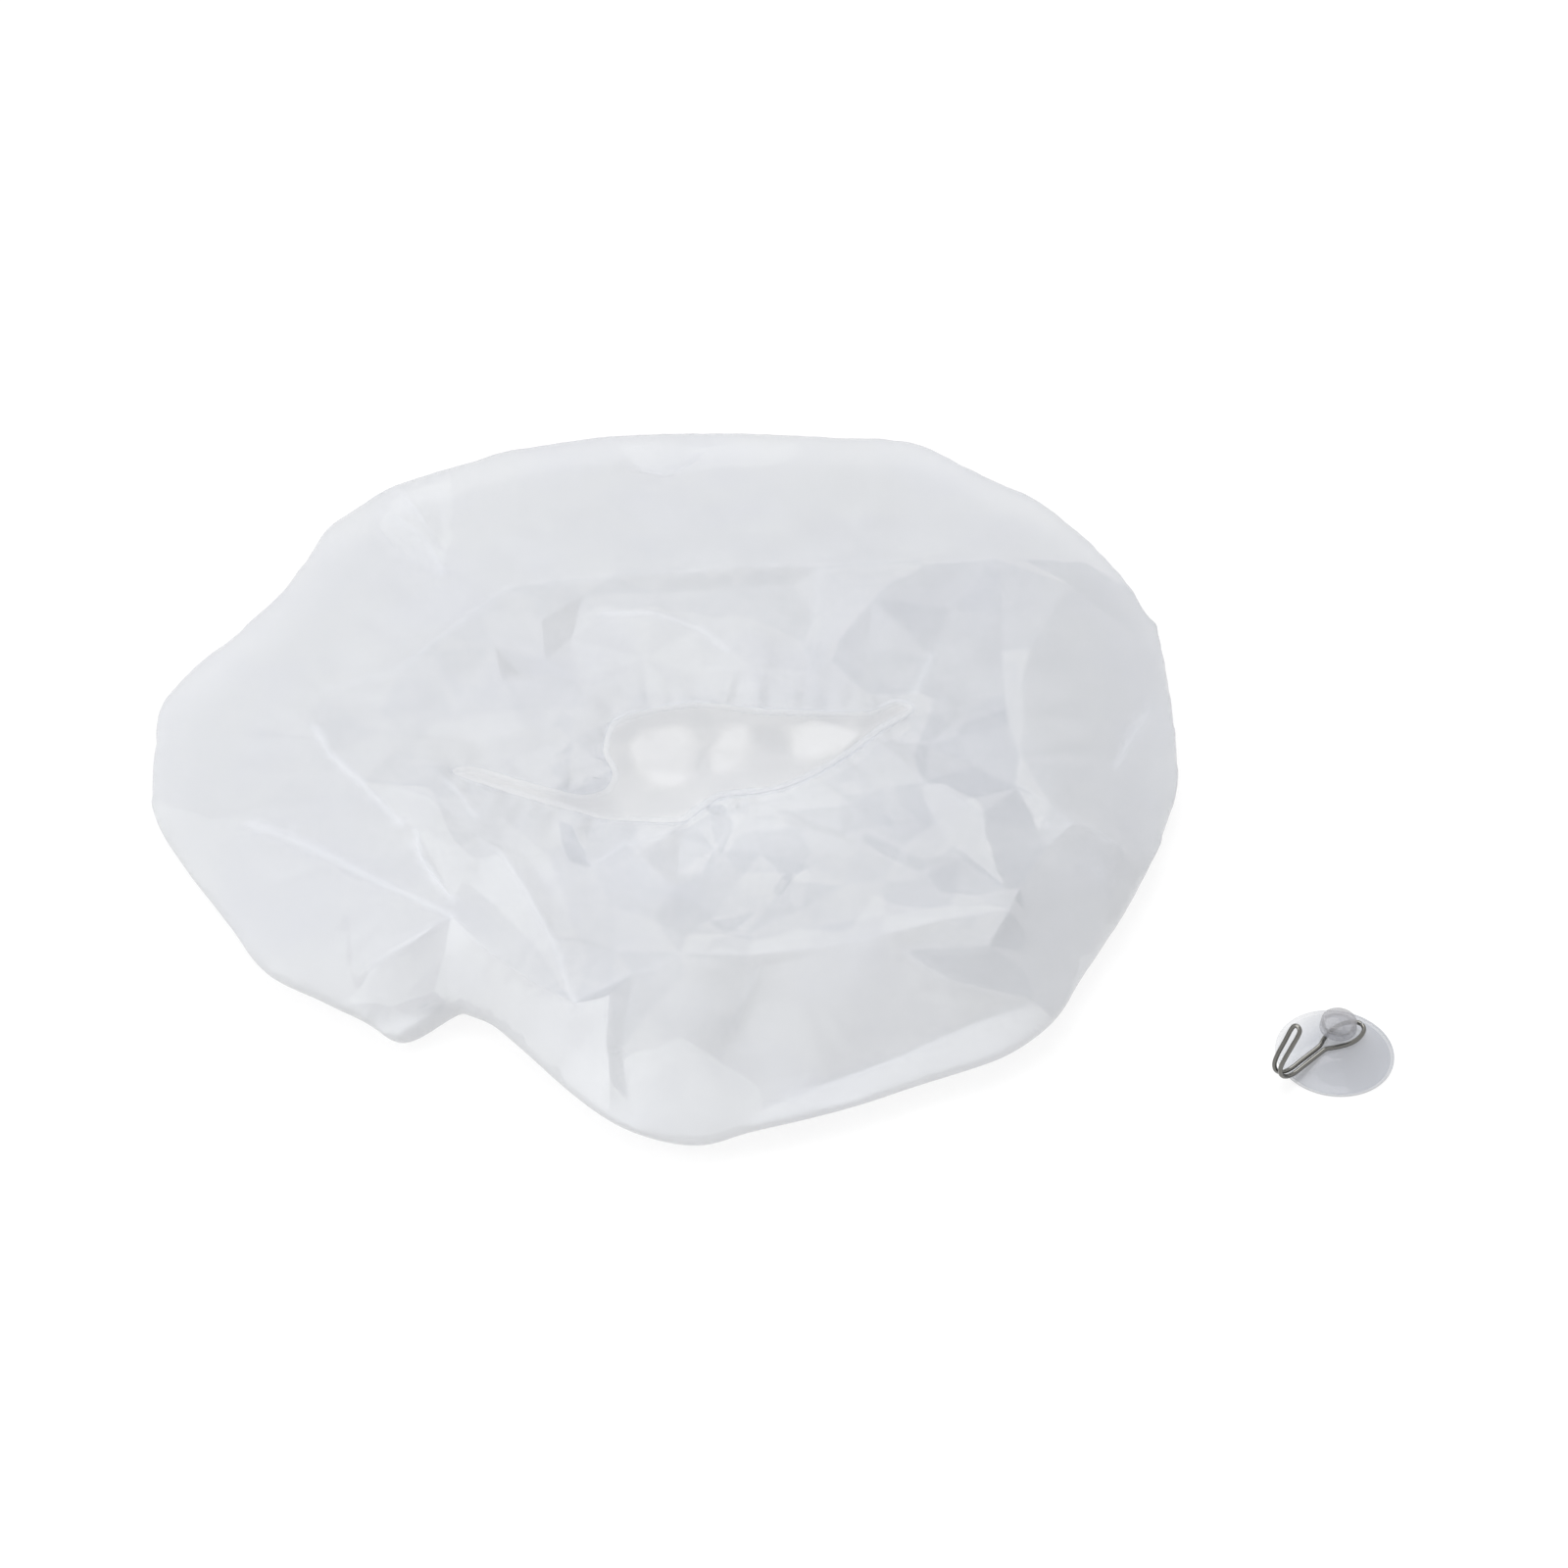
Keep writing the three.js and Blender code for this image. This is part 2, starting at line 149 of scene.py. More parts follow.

# Creases of the film that the photograph shows: how sharp the crease is, how white it is, partly
# from stretching and partly a painted highlight along it, then its points (x, y, z), in millimetres. The film
# lies in flat facets between them.
CREASES = {
    "back_ridge": (0.9, 0.12, [
        (-56, 63, 36), (-39, 66, 37), (-20, 68, 37.5), (4, 70, 38), (28, 73, 38), (54, 73, 38),
        (76, 76, 37.5), (91, 75, 37), (118, 82, 34)]),
    "back_foot": (0.5, 0, [(-30, 61, 34.5), (-5, 63, 34), (24, 66, 34), (44, 67, 34)]),
    "back_left": (0.5, 0.15, [(-118, 12, 33), (-93, 20, 34), (-78, 38, 35), (-67, 52, 36), (-56, 63, 36)]),
    "left_bright": (0.95, 0.4, [
        (-119, -6, 33.5), (-112, -23, 34), (-100, -38, 35), (-90, -52, 35), (-86, -57, 34)]),
    "left_bright_low": (0.3, 0, [(-119, -20, 32.2), (-110, -40, 32.2), (-97, -56, 32.4)]),
    "left_bright_top": (0.7, 0.1, [
        (-100, -38, 35), (-91, -37, 32.5), (-75, -43, 32), (-60, -60, 31), (-51, -72, 34)]),
    "flap_valley": (0.9, 0.1, [(54, 73, 38), (52, 52, 33), (48, 39, 31), (49, 25, 29.5), (49, 12, 29)]),
    "flap_ridge": (0.95, 0, [(91, 75, 37), (72, 56, 37), (66, 46, 36), (56, 30, 33.5), (52, 20, 31)]),
    "flap_fold": (0.7, 0, [(66, 46, 36), (70, 34, 32), (74, 20, 31)]),
    "tip_tail": (0.9, 0.25, [(86, 12, 32), (89, 21, 33), (92, 29, 34)]),
    "band_valley": (0.95, 0, [
        (118, 82, 34), (117, 51, 33.5), (116, 14, 33.5), (117, -8, 34), (120, -26, 35.5)]),
    "band_ridge": (0.9, 0, [
        (142, 74, 29), (126, 31, 35), (122, 11, 36.8), (122, -10, 37), (120, -26, 35.5)]),
    "right_light_ridge": (0.95, 0.1, [
        (88, -36, 34), (100, -49, 36.5), (106, -56, 37), (107, -74, 37.5), (111, -91, 37)]),
    "right_light_low": (0.8, 0, [(88, -36, 34), (91, -54, 31.5), (99, -72, 32), (111, -91, 37)]),
    "triangle": (0.9, 0.1, [(118, -41, 35), (130, -50, 36.5), (125, -58, 33.5)]),
    "triangle_side": (0.8, 0, [(118, -41, 35), (125, -58, 33.5)]),
    "star": (0.9, 0, [(136, -58, 35), (127, -67, 33), (117, -89, 35), (113, -101, 37)]),
    "star_right": (0.8, 0.2, [(136, -58, 35), (142, -57, 32), (152, -60, 26)]),
    "star_down": (0.8, 0.1, [(136, -58, 35), (139, -67, 29), (147, -76, 23)]),
    "right_edge": (0.8, 0.4, [(168, 22, 15.5), (159, -1, 20), (153, -17, 22.5)]),
    "front_ridge": (0.95, 0.1, [
        (-25, -137, 31), (-7, -128, 34), (8, -121, 37), (29, -123, 38), (51, -120, 38), (72, -114, 38),
        (94, -106, 37.5), (113, -101, 37)]),
    "front_band": (0.7, 0, [
        (10, -113, 36), (29, -112, 36), (51, -108, 35.5), (73, -102, 35), (94, -98, 35.5)]),
    "flap_low": (0.9, 0.1, [(79, -117, 34), (106, -114, 33), (113, -101, 37)]),
    "dark_triangle": (0.9, 0, [(106, -114, 33), (119, -104, 30), (117, -89, 35)]),
    "low_line": (0.9, 0.25, [(79, -117, 34), (94, -124, 27.5), (122, -125, 19)]),
    "low_right": (0.9, 0.25, [
        (122, -125, 19), (105, -130, 16.5), (72, -147, 14), (51, -157, 13.5), (34, -166, 13)]),
    "front_vertical": (0.9, 0.1, [(-7, -128, 34), (-10, -149, 22), (-8, -163, 14)]),
    "front_vertical_left": (0.8, 0.2, [(-14, -134, 31.5), (-15, -148, 24), (-14, -158, 18)]),
    "streak": (0.9, 0.3, [(32, -127, 34.5), (28, -134, 29.5), (25, -142, 25.5)]),
    "streak_low": (0.8, 0, [(36, -128, 33), (32, -135, 27), (28, -143, 22)]),
    "leaf": (0.95, 0.45, [(-80, -61, 35), (-78, -74, 35), (-72, -84, 34.5), (-66, -93, 33.5)]),
    "leaf_right": (0.9, 0.1, [(-80, -61, 35), (-75, -60, 34), (-70, -72, 33.4), (-66, -93, 33.5)]),
    "left_low": (0.95, 0.4, [
        (-138, -46, 24.5), (-121, -60, 28.5), (-104, -73, 31), (-81, -90, 33), (-66, -100, 33)]),
    "left_low_foot": (0.5, 0, [(-124, -66, 24), (-104, -80, 27), (-84, -95, 30)]),
    "lobe_flap": (0.9, 0.25, [(-66, -100, 33), (-79, -109, 29.5), (-91, -113, 24)]),
    "lobe_dark": (0.8, 0, [(-66, -100, 33), (-93, -103, 24), (-96, -115, 19)]),
    "notch_ridge": (0.9, 0.08, [(-66, -100, 33), (-53, -116, 32), (-39, -128, 31.5), (-25, -137, 31)]),
    "long_crease": (0.95, 0.3, [(-51, -72, 34), (-42, -90, 35), (-33, -112, 35), (-25, -137, 31)]),
    "long_crease_foot": (0.7, 0, [(-44, -70, 30.5), (-34, -88, 30.5), (-25, -108, 31.5)]),
    "left_tip": (0.9, 0.3, [(-72, -33, 30), (-67, -41, 32), (-62, -50, 31.5)]),
    "dark_left": (0.4, 0.1, [(-34, -49, 28), (-30, -60, 28.5), (-22, -74, 30)]),
    "rim_fold": (0.9, 0.2, [(12, -52, 28), (2, -58, 30), (-11, -64, 31), (-22, -74, 30)]),
    "dark_blob": (0.9, 0.1, [(24, -46, 29), (18, -63, 28), (6, -57, 27.5)]),
    "inner_back": (0.9, 0.3, [(-22, 50, 35.5), (-5, 51, 35), (11, 45, 33), (21, 36, 31)]),
    "far_left_1": (0.9, 0.3, [(-102, 146, 15), (-92, 122, 21), (-84, 98, 26)]),
    "far_left_1b": (0.7, 0, [(-90, 148, 14), (-85, 123, 18.5), (-84, 98, 26)]),
    "far_left_2": (0.8, 0.1, [(-108, 117, 17.5), (-96, 96, 23.5), (-82, 81, 28.5)]),
    "far_left_2b": (0.8, 0.3, [(-104, 127, 18.5), (-89, 105, 25.5), (-82, 81, 28.5)]),
    "left_dark": (0.8, 0, [(-124, 76, 18.5), (-119, 55, 22.5), (-116, 35, 26)]),
    "top_right_1": (0.7, 0.1, [(75, 165, 15.5), (73, 123, 26.5), (72, 92, 35)]),
    "top_right_2": (0.7, 0, [(86, 165, 14), (83, 130, 23.5), (81, 96, 32)]),
    "top_patch": (0.7, 0.2, [(-15, 160, 15), (-2, 152, 18), (9, 170, 14)]),
}
# Corners of the smaller facets in the crumpled film round the mouth.
CRUMPLES = [
    (-7, -69, 30), (5, -85, 32.5), (14, -76, 28.5), (-15, -92, 31), (-1, -104, 34.5), (18, -99, 32),
    (25, -85, 31), (33, -68, 31.5), (42, -83, 30.5), (50, -76, 33), (46, -99, 33.5), (36, -93, 31.5),
    (51, -57, 29), (65, -65, 32.5), (60, -86, 32), (73, -84, 34.5), (80, -67, 31.5), (72, -38, 32),
    (84, -86, 34), (96, -92, 36.5), (29, -51, 30), (42, -44, 28), (63, -45, 29.5), (100, -10, 32.5),
    (104, 30, 34.5), (100, 56, 34), (-82, 29, 34.5), (-72, 9, 32), (-56, 15, 34), (-42, 29, 33),
    (-30, 17, 31), (-48, -7, 32), (-31, -10, 29), (-64, -11, 31), (-44, 45, 35), (-96, -8, 32),
    (-90, -22, 34), (-60, 35, 34.5), (30, 24, 31.5), (12, 24, 30), (30, 48, 33.5), (-8, 30, 33),
    (-52, -88, 31.5), (-58, -78, 32), (-44, -112, 32.5), (-12, -116, 34), (-82, -80, 31.5),
]
# Patches of painted shade and painted light on the film, partly where it lies double or is seen
# through more of the crown's folds, and partly for how the light falls on its facets: how much
# darker (lighter below 0), then the patch's corners (x, y), in millimetres. Where patches overlap, the later
# one counts.
PATCHES = {
    "right_fold": (0.3, [
        (91, 75), (79, 65), (72, 56), (66, 46), (56, 30), (63, 21), (70, 12), (84, 12), (93, 8), (86, -12),
        (84, -26), (88, -36), (100, -49), (106, -56), (107, -74), (111, -91), (117, -89), (127, -67),
        (136, -58), (130, -50), (118, -41), (120, -26), (117, -8), (116, 14), (117, 51), (118, 82)]),
    "band_low": (0.12, [(116, 24), (122, 24), (122, 11), (122, -10), (120, -26), (117, -8)]),
    "band_top": (0.22, [(117, 51), (118, 82), (142, 74), (126, 31), (116, 30)]),
    "far_right": (0.24, [
        (142, 74), (126, 86), (150, 98), (200, 80), (210, -30), (172, -38), (148, -64), (136, -58),
        (130, -50), (120, -26), (122, -10), (122, 11), (126, 31)]),
    "dark_stripe": (0.15, [(78, -37), (86, -37), (90, -52), (89, -59), (79, -44)]),
    "right_dark": (0.2, [
        (87, -75), (97, -66), (105, -79), (111, -87), (114, -91), (104, -94), (91, -91), (88, -84)]),
    "right_light": (-0.2, [
        (87, -38), (93, -37), (106, -50), (107, -67), (111, -89), (105, -79), (94, -62), (90, -52)]),
    "triangle": (0.05, [(118, -40), (130, -50), (125, -60)]),
    "star_light": (0.3, [(136, -58), (148, -64), (147, -76), (138, -73), (127, -67)]),
    "lower_right": (0.22, [
        (113, -101), (117, -89), (127, -67), (138, -73), (147, -76), (148, -64), (172, -38), (210, -45),
        (170, -140), (130, -136), (122, -125), (106, -114)]),
    "right_edge": (0.2, [(168, 22), (172, 17), (162, -3), (153, -17), (159, -1)]),
    "front_light": (-0.25, [
        (8, -121), (29, -123), (51, -120), (72, -114), (94, -106), (113, -101), (107, -99), (81, -99),
        (69, -91), (66, -101), (60, -112), (45, -109), (31, -115), (21, -110), (10, -112)]),
    "low_dark": (0.25, [(17, -100), (24, -100), (33, -96), (30, -101), (24, -109), (18, -106)]),
    "small_dark": (0.3, [(44, -76), (43, -83), (40, -89), (37, -88), (40, -81)]),
    "small_light": (-0.15, [(45, -77), (50, -80), (48, -88), (46, -99), (43, -93), (43, -86)]),
    "left_facet": (0.08, [(-5, -70), (15, -44), (18, -60), (18, -75), (16, -85), (6, -106), (4, -83)]),
    "fold_line": (0.2, [(65, -43), (71, -48), (77, -54), (75, -57), (69, -52), (63, -47)]),
    "fold_line_low": (0.25, [(67, -58), (79, -68), (88, -77), (86, -81), (76, -73), (66, -62)]),
    "light_upright": (-0.1, [(60, -32), (66, -31), (67, -43), (62, -44)]),
    "light_streak": (-0.1, [(37, -46), (41, -48), (42, -63), (38, -61)]),
    "flap_low": (0.12, [(79, -117), (94, -106), (106, -114), (92, -116)]),
    "dark_triangle": (0.45, [(106, -114), (113, -101), (119, -104), (117, -111)]),
    "low_wedge": (0.38, [(79, -117), (106, -114), (117, -116), (122, -125), (108, -125), (94, -124)]),
    "low_strip": (-0.42, [
        (122, -125), (105, -130), (72, -147), (51, -157), (34, -166), (30, -190), (90, -190), (140, -140)]),
    "front_right": (-0.14, [
        (32, -127), (51, -120), (72, -114), (79, -117), (94, -124), (122, -125), (105, -130), (72, -147),
        (51, -157), (34, -166), (20, -160), (25, -142)]),
    "front_middle": (0, [
        (-7, -128), (8, -121), (32, -127), (25, -142), (20, -160), (34, -166), (25, -190), (-6, -190),
        (-8, -163), (-10, -149)]),
    "front_corner": (0.15, [(-25, -137), (-7, -128), (8, -121), (10, -129), (1, -137), (-10, -149)]),
    "front_foot": (-0.4, [(-14, -152), (8, -150), (22, -154), (34, -160), (30, -190), (-20, -190)]),
    "funnel_middle": (0.18, [(25, -58), (46, -56), (50, -68), (46, -79), (26, -78), (22, -68)]),
    "funnel_left": (0.12, [(-25, -52), (-8, -51), (-6, -68), (-24, -70)]),
    "funnel_right": (0.12, [(60, -38), (74, -38), (73, -57), (60, -57)]),
    "far_right_top": (0.38, [(142, 74), (126, 86), (150, 98), (185, 82), (165, 62)]),
    "under_ridge": (0.22, [
        (-39, 66), (-20, 68), (4, 70), (28, 73), (54, 73), (52, 65), (24, 66), (-5, 63), (-30, 61)]),
    "bowl": (0.06, [
        (-56, 63), (-15, 70), (28, 73), (54, 73), (52, 52), (48, 39), (30, 48), (1, 54), (-29, 53),
        (-60, 35), (-73, 16), (-73, -15), (-86, -14), (-98, 0), (-89, 26), (-75, 48)]),
    "inner_bowl": (-0.12, [
        (1, 54), (30, 48), (48, 39), (49, 25), (48, 13), (30, 14), (-8, 14), (-24, -2), (-30, 17),
        (-42, 29), (-29, 53)]),
    "above_tail": (-0.13, [
        (-80, -3), (-50, 2), (-20, 5), (-17, -12), (-20, -27), (-40, -34), (-52, -29), (-66, -26),
        (-84, -27)]),
    "flap": (0, [
        (54, 75), (86, 77), (70, 63), (63, 46), (57, 28), (54, 19), (52, 8), (49, 1), (48, 20), (52, 46)]),
    "back_band": (0.05, [(-18, 89), (32, 94), (81, 96), (91, 75), (54, 73), (4, 70), (-20, 68)]),
    "back_light": (-0.15, [(-22, 176), (48, 174), (46, 160), (31, 147), (-2, 152), (-15, 160)]),
    "far_left_light": (-0.2, [(-102, 146), (-85, 156), (-81, 102), (-82, 81), (-96, 96), (-109, 122)]),
    "leaf_band": (-0.36, [
        (-100, -38), (-91, -37), (-78, -37), (-75, -43), (-71, -56), (-66, -67), (-59, -72), (-51, -72),
        (-42, -90), (-33, -112), (-25, -137), (-35, -119), (-48, -103), (-58, -88), (-64, -82), (-66, -93),
        (-73, -77), (-80, -61), (-86, -57), (-90, -52)]),
    "tip_light": (-0.15, [(-72, -33), (-66, -31), (-62, -50), (-67, -41)]),
    "leaf_wedge": (0.05, [
        (-66, -93), (-58, -93), (-46, -107), (-35, -120), (-25, -137), (-39, -128), (-53, -116),
        (-66, -100)]),
    "upper_wedge": (-0.18, [
        (-53, -50), (-45, -58), (-36, -69), (-29, -96), (-22, -118), (-25, -137), (-33, -112), (-42, -90),
        (-51, -72)]),
    "near_rim": (-0.2, [
        (5, -49), (12, -43), (20, -37), (36, -34), (60, -20), (74, -6), (82, 0), (85, -3), (77, -10),
        (62, -25), (37, -38), (22, -42), (14, -47), (8, -53)]),
    "dark_left": (0.42, [(-34, -49), (-30, -52), (-22, -74), (-30, -72), (-32, -60)]),
    "dark_rim": (0.3, [(15, -41), (20, -41), (24, -51), (22, -60), (20, -67), (18, -58), (17, -50)]),
    "low_left": (-0.2, [
        (-104, -76), (-81, -90), (-66, -100), (-79, -109), (-91, -113), (-96, -115), (-99, -104)]),
    "notch_light": (-0.95, [
        (-66, -100), (-53, -116), (-39, -128), (-25, -137), (-14, -134), (-15, -148), (-14, -158),
        (-14, -180), (-60, -150), (-70, -119)]),
    "front_line": (0.12, [(-14, -134), (-7, -128), (-10, -149), (-8, -163), (-14, -158), (-15, -148)]),
    "left_end": (-0.18, [(-200, -10), (-138, -46), (-104, -73), (-100, -104), (-90, -140), (-200, -140)]),
    "lobe_front": (-0.45, [(-66, -100), (-91, -113), (-100, -120), (-84, -124), (-70, -119)]),
    "tab": (-0.25, [(-84, -124), (-62, -126), (-68, -150), (-96, -142)]),
}
# The same painted shade and light for the crown that is seen through the mouth, where overlapping amounts add
# up.
CROWN_PATCHES = [
    (0.32, [
        (-38, -2), (-22, 0), (-22, 24), (-9, 37), (11, 42), (52, 38), (79, 43), (84, 32), (60, 9), (36, -6),
        (12, -15), (-13, -21), (-40, -12)]),
    (-0.15, [(-74, 5), (-64, 10), (-38, -2), (-40, -12)]),
    (-0.55, [(-14, 20), (-9, 27), (6, 31), (11, 19), (9, 4), (3, -2), (-4, -1), (-10, 7)]),
    (-0.55, [(15, 18), (19, 29), (28, 31), (29, 19), (25, 7), (16, 4)]),
    (-0.75, [(43, 29), (51, 33), (64, 29), (68, 26), (61, 17), (51, 11), (44, 13)]),
]

# How the film's cage is laid out, in millimetres, degrees and shares of the way
CREASE_STEP = 8
FACET_STEP = 10
WALL_SPACING = 18
FUNNEL_SPACING = 10
EDGE_CLEARANCE = 4.2
CREASE_CLEARANCE = 1.5
MERGE_DISTANCE = 1
LONGEST_BORDER = CREASE_STEP * 1.6
OUTLINE_SWELL = 1.011
OUTLINE_STEP = 3.0
TAB_ANGLES = (229, 248)
TAB_STEP = 1.15
RIM_CORNERS = 150
RIDGE_STEP = 3.0
WALL_WAYS = (0.14, 0.36, 0.62, 0.84, 1)
FUNNEL_WAYS = (0.35, 0.68)
LOOSE_CLEARANCE = 11
LOOSE_SPACING = 8
FILLER_TRIES = 2500
FILLER_WAYS = (0.05, 0.97)
FILLER_LIFT = 0.3
CRUMPLE_RISE = 1.1
SPARE_HEIGHT = 30
CROWN_SPACING = 19
CROWN_TRIES = 4000
CROWN_REACH = 190
CROWN_LIFTS = (0.1, 1.3)
CROWN_PATCH_LIFTS = (0.2, 1)
CROWN_REST = 0.3
# How sharp the cage's edges are: of the facets, of the patches' borders and of the crown
FACET_SHARPNESS = (0.5, 0.7, 0.95)
BORDER_SHARPNESS = 0.25
CROWN_SHARPNESS = (0, 0.5, 0.8)
# Tones of the film: painted shade. Random shades of its facets stand in for how light falls on
# each crumpled facet, on the film and on the crown, and the wall and the band beside the outline
# are painted a little darker. Only facets in front of the mouth, from FULL_SHADE_FROM rightwards, are shaded
# in full.
FACET_SHADES = (0.05, 0.4)
PART_SHADE = 0.5
CROWN_SHADES = (-0.12, 0.12)
WALL_SHADE = 0.04
EDGE_SHADE = 0.02
EDGE_SHADE_WIDTH = 10
FULL_SHADE_FROM = -35
# Under-side of the fold, outline inwards: share of the outline, share of FOLD_HEIGHT, shade. The
# shade is painted light that lightens the under-side where less light reaches it; it is whole in front and a
# fifth of itself behind.
UNDER = [(0.982, 0.48, -0.3), (0.935, 0.1, -0.15), (0.84, 0, -0.04)]
# Gathers beside the hem: how many go round it, how uneven they are, their height and reach in mm.
GATHERS = [(58, 2, 0.7, 8), (21, 3, 1.0, 16)]
UNEVEN_SIZE, UNEVEN_TURN = 31, 1.6
# Crumples, in millimetres: fine ones and cells that are strongest CRUMPLED_FROM_HEM from the hem
# and fade over CRUMPLED_WIDTH, and broad cells everywhere. A cell's mean value is CELL_MEAN.
FINE_SIZE, FINE_LIFT = 6, 0.15
CELL_SIZE, CELL_LIFT = 13, 1.2
BROAD_SIZE, BROAD_SHIFT = 38, 70
CELL_MEAN = 0.4
CRUMPLED_FROM_HEM, CRUMPLED_WIDTH = 20, 50
# The hem holds the film level within HELD_WIDTH of it. Creasing starts at CREASED_FROM above the
# surface, and is whole CREASED_WITHIN higher.
HELD_WIDTH = 2.5
CREASED_FROM, CREASED_WITHIN = 13, 8
WHITENED_WIDTH = 1.3
# The film beside the hem is whitened with the hem's milkiness, partly a painted highlight.
HEM_MILK_AND_HIGHLIGHT_WIDTH, HEM_MILK_AND_HIGHLIGHT_AMOUNT = 3, 0.22
SMOOTH_ANGLE = math.radians(12)
# Hem: sections and gathers along it, points across its film, half width of its open lip, how
# far it is drawn in and how far gathers swell it, in millimetres, and its width and height shares
HEM_SECTIONS, HEM_GATHERS, HEM_POINTS = 560, 70, 15
HEM_LIP = math.radians(16)
HEM_DRAWN_IN, HEM_SWELL = 0.28, 0.3
HEM_WIDE, HEM_HIGH = 1.05, 0.92
ELASTIC_SECTIONS, ELASTIC_SIDES = 720, 10
PLACES_AT_ONCE = 4000


def colour(hex_value):
    """A linear colour with alpha 1 from a six-digit sRGB hex value."""
    parts = [int(hex_value[i:i + 2], 16) / 255 for i in (0, 2, 4)]
    linear = [c / 12.92 if c <= 0.04045 else ((c + 0.055) / 1.055) ** 2.4 for c in parts]
    return (*linear, 1)


def add_camera():
    data = bpy.data.cameras.new("photo_camera")
    data.lens = CAMERA_LENS
    data.sensor_width = SENSOR
    data.clip_end = CAMERA_REACH
    camera = bpy.data.objects.new("photo_camera", data)
    back = Vector((0, -math.cos(CAMERA_ELEVATION), math.sin(CAMERA_ELEVATION)))
    camera.location = Vector(CAMERA_TARGET) + back * CAMERA_DISTANCE
    camera.rotation_euler = back.to_track_quat("Z", "Y").to_euler()
    bpy.context.collection.objects.link(camera)
    bpy.context.scene.camera = camera


def connect(tree, node, values):
    """Give a node's sockets, by name or number, what they hold: a number, a colour or a link."""
    for name, value in values.items():
        if isinstance(value, bpy.types.NodeSocket):
            tree.links.new(value, node.inputs[name])
        else:
            node.inputs[name].default_value = value


def add_node(tree, kind, output, values=None, **settings):
    """Add one shader node with its settings and its sockets' values; gives one of its outputs."""
    node = tree.nodes.new("ShaderNode" + kind)
    for name, value in settings.items():
        setattr(node, name, value)
    connect(tree, node, values or {})
    return node.outputs[output]


def new_material(name):
    material = bpy.data.materials.new(name)
    material.use_nodes = True
    return material, material.node_tree, material.node_tree.nodes["Principled BSDF"]


def around(rows, degrees):
    """Values of a closed table at angles in degrees, on a curve that never overshoots a row."""
    table = np.array(rows, float)
    keys = np.concatenate([table[-2:, 0] - 360, table[:, 0], table[:3, 0] + 360])
    values = np.concatenate([table[-2:, 1:], table[:, 1:], table[:3, 1:]])
    slopes = np.diff(values, axis=0) / np.diff(keys)[:, None]
    left, right = slopes[:-1], slopes[1:]
    same = left * right > 0
    tangents = np.where(same, 2 * left * right / np.where(same, left + right, 1), 0)
    at = np.mod(np.atleast_1d(np.array(degrees, float)), 360)
    k = np.searchsorted(keys, at, side="right") - 1
    span = (keys[k + 1] - keys[k])[:, None]
    share = (at - keys[k])[:, None] / span
    rest = share - 1
    eased = share * share * (3 - 2 * share)
    return (values[k] + (values[k + 1] - values[k]) * eased
            + tangents[k - 1] * span * share * rest * rest + tangents[k] * span * share * share * rest)


def on_rays(degrees, radii, heights):
    angles = np.radians(degrees)
    heights = np.broadcast_to(heights, angles.shape)
    return np.stack([radii * np.cos(angles), radii * np.sin(angles), heights], axis=1)


def column_angles(count):
    """Angles of the columns, which crowd together towards the mouth's two ends."""
    even = np.arange(count) * 360 / count
    return even - CROWDING * np.sin(np.radians(2 * (even - MOUTH_TIP)))


def fold_points(degrees):
    return on_rays(degrees, around(OUTLINE, degrees)[:, 0] * HALF_WIDTH, FOLD_HEIGHT)


def ridge_points(degrees):
    shares = around(RIDGE, degrees)
    return on_rays(degrees, shares[:, 0] * HALF_WIDTH, shares[:, 1] * RIDGE_HEIGHT)


def hem_points(degrees):
    return around(MOUTH, degrees) * (HALF_WIDTH, HALF_WIDTH, MOUTH_HEIGHT)


def hem_outward(degrees):
    """Level directions square to the hem, pointing away from the mouth."""
    degrees = np.atleast_1d(degrees)
    along = hem_points(degrees + HEM_TANGENT_STEP) - hem_points(degrees - HEM_TANGENT_STEP)
    out = np.stack([along[:, 1], -along[:, 0], np.zeros(len(along))], axis=1)
    return out / np.linalg.norm(out, axis=1)[:, None]


def rim_points(degrees):
    """The film's edge, where it meets the hem."""
    return hem_points(degrees) + hem_outward(degrees) * HEM_RADIUS * RIM_SHARE


def wall_points(degrees, way):
    fold, ridge = fold_points(degrees), ridge_points(degrees)
    points = fold + (ridge - fold) * np.reshape(way, (-1, 1))
    rise = 1 - (1 - np.asarray(way)) ** WALL_BULGE
    points[:, 2] = fold[:, 2] + (ridge[:, 2] - fold[:, 2]) * rise
    return points


def funnel_points(degrees, way):
    ridge, rim = ridge_points(degrees), rim_points(degrees)
    way = np.reshape(way, (-1, 1))
    points = ridge + (rim - ridge) * way
    points[:, 2] -= SAG_DEPTH * 4 * way[:, 0] * (1 - way[:, 0])
    return points


def inside(polygon, points):
    """True for each point, in plan, that lies inside the polygon."""
    x, y = points[:, 0][:, None], points[:, 1][:, None]
    ax, ay = polygon[:, 0], polygon[:, 1]
    bx, by = np.roll(ax, -1), np.roll(ay, -1)
    level = by - ay
    crossing = ax + (y - ay) * (bx - ax) / np.where(level == 0, 1, level)
    hits = ((ay > y) != (by > y)) & (x < crossing)
    return hits.sum(axis=1) % 2 == 1


def to_segments(points, starts, ends):
    """Distance in plan from each point to each segment."""
    way = ends - starts
    lengths = np.maximum((way ** 2).sum(axis=1), 1e-9)
    shares = ((points[:, None, :] - starts) * way).sum(axis=2) / lengths
    nearest = starts + np.clip(shares, 0, 1)[:, :, None] * way
    return np.linalg.norm(points[:, None, :] - nearest, axis=2)


def outline_angles():
    """Angles of the outline's corners, close together round the small tab beside the notch."""
    first, last = TAB_ANGLES
    even = [angle for angle in np.arange(0, 360, OUTLINE_STEP) if not first < angle < last]
    return np.array(sorted(even + list(np.arange(first + 0.5, last, TAB_STEP))))


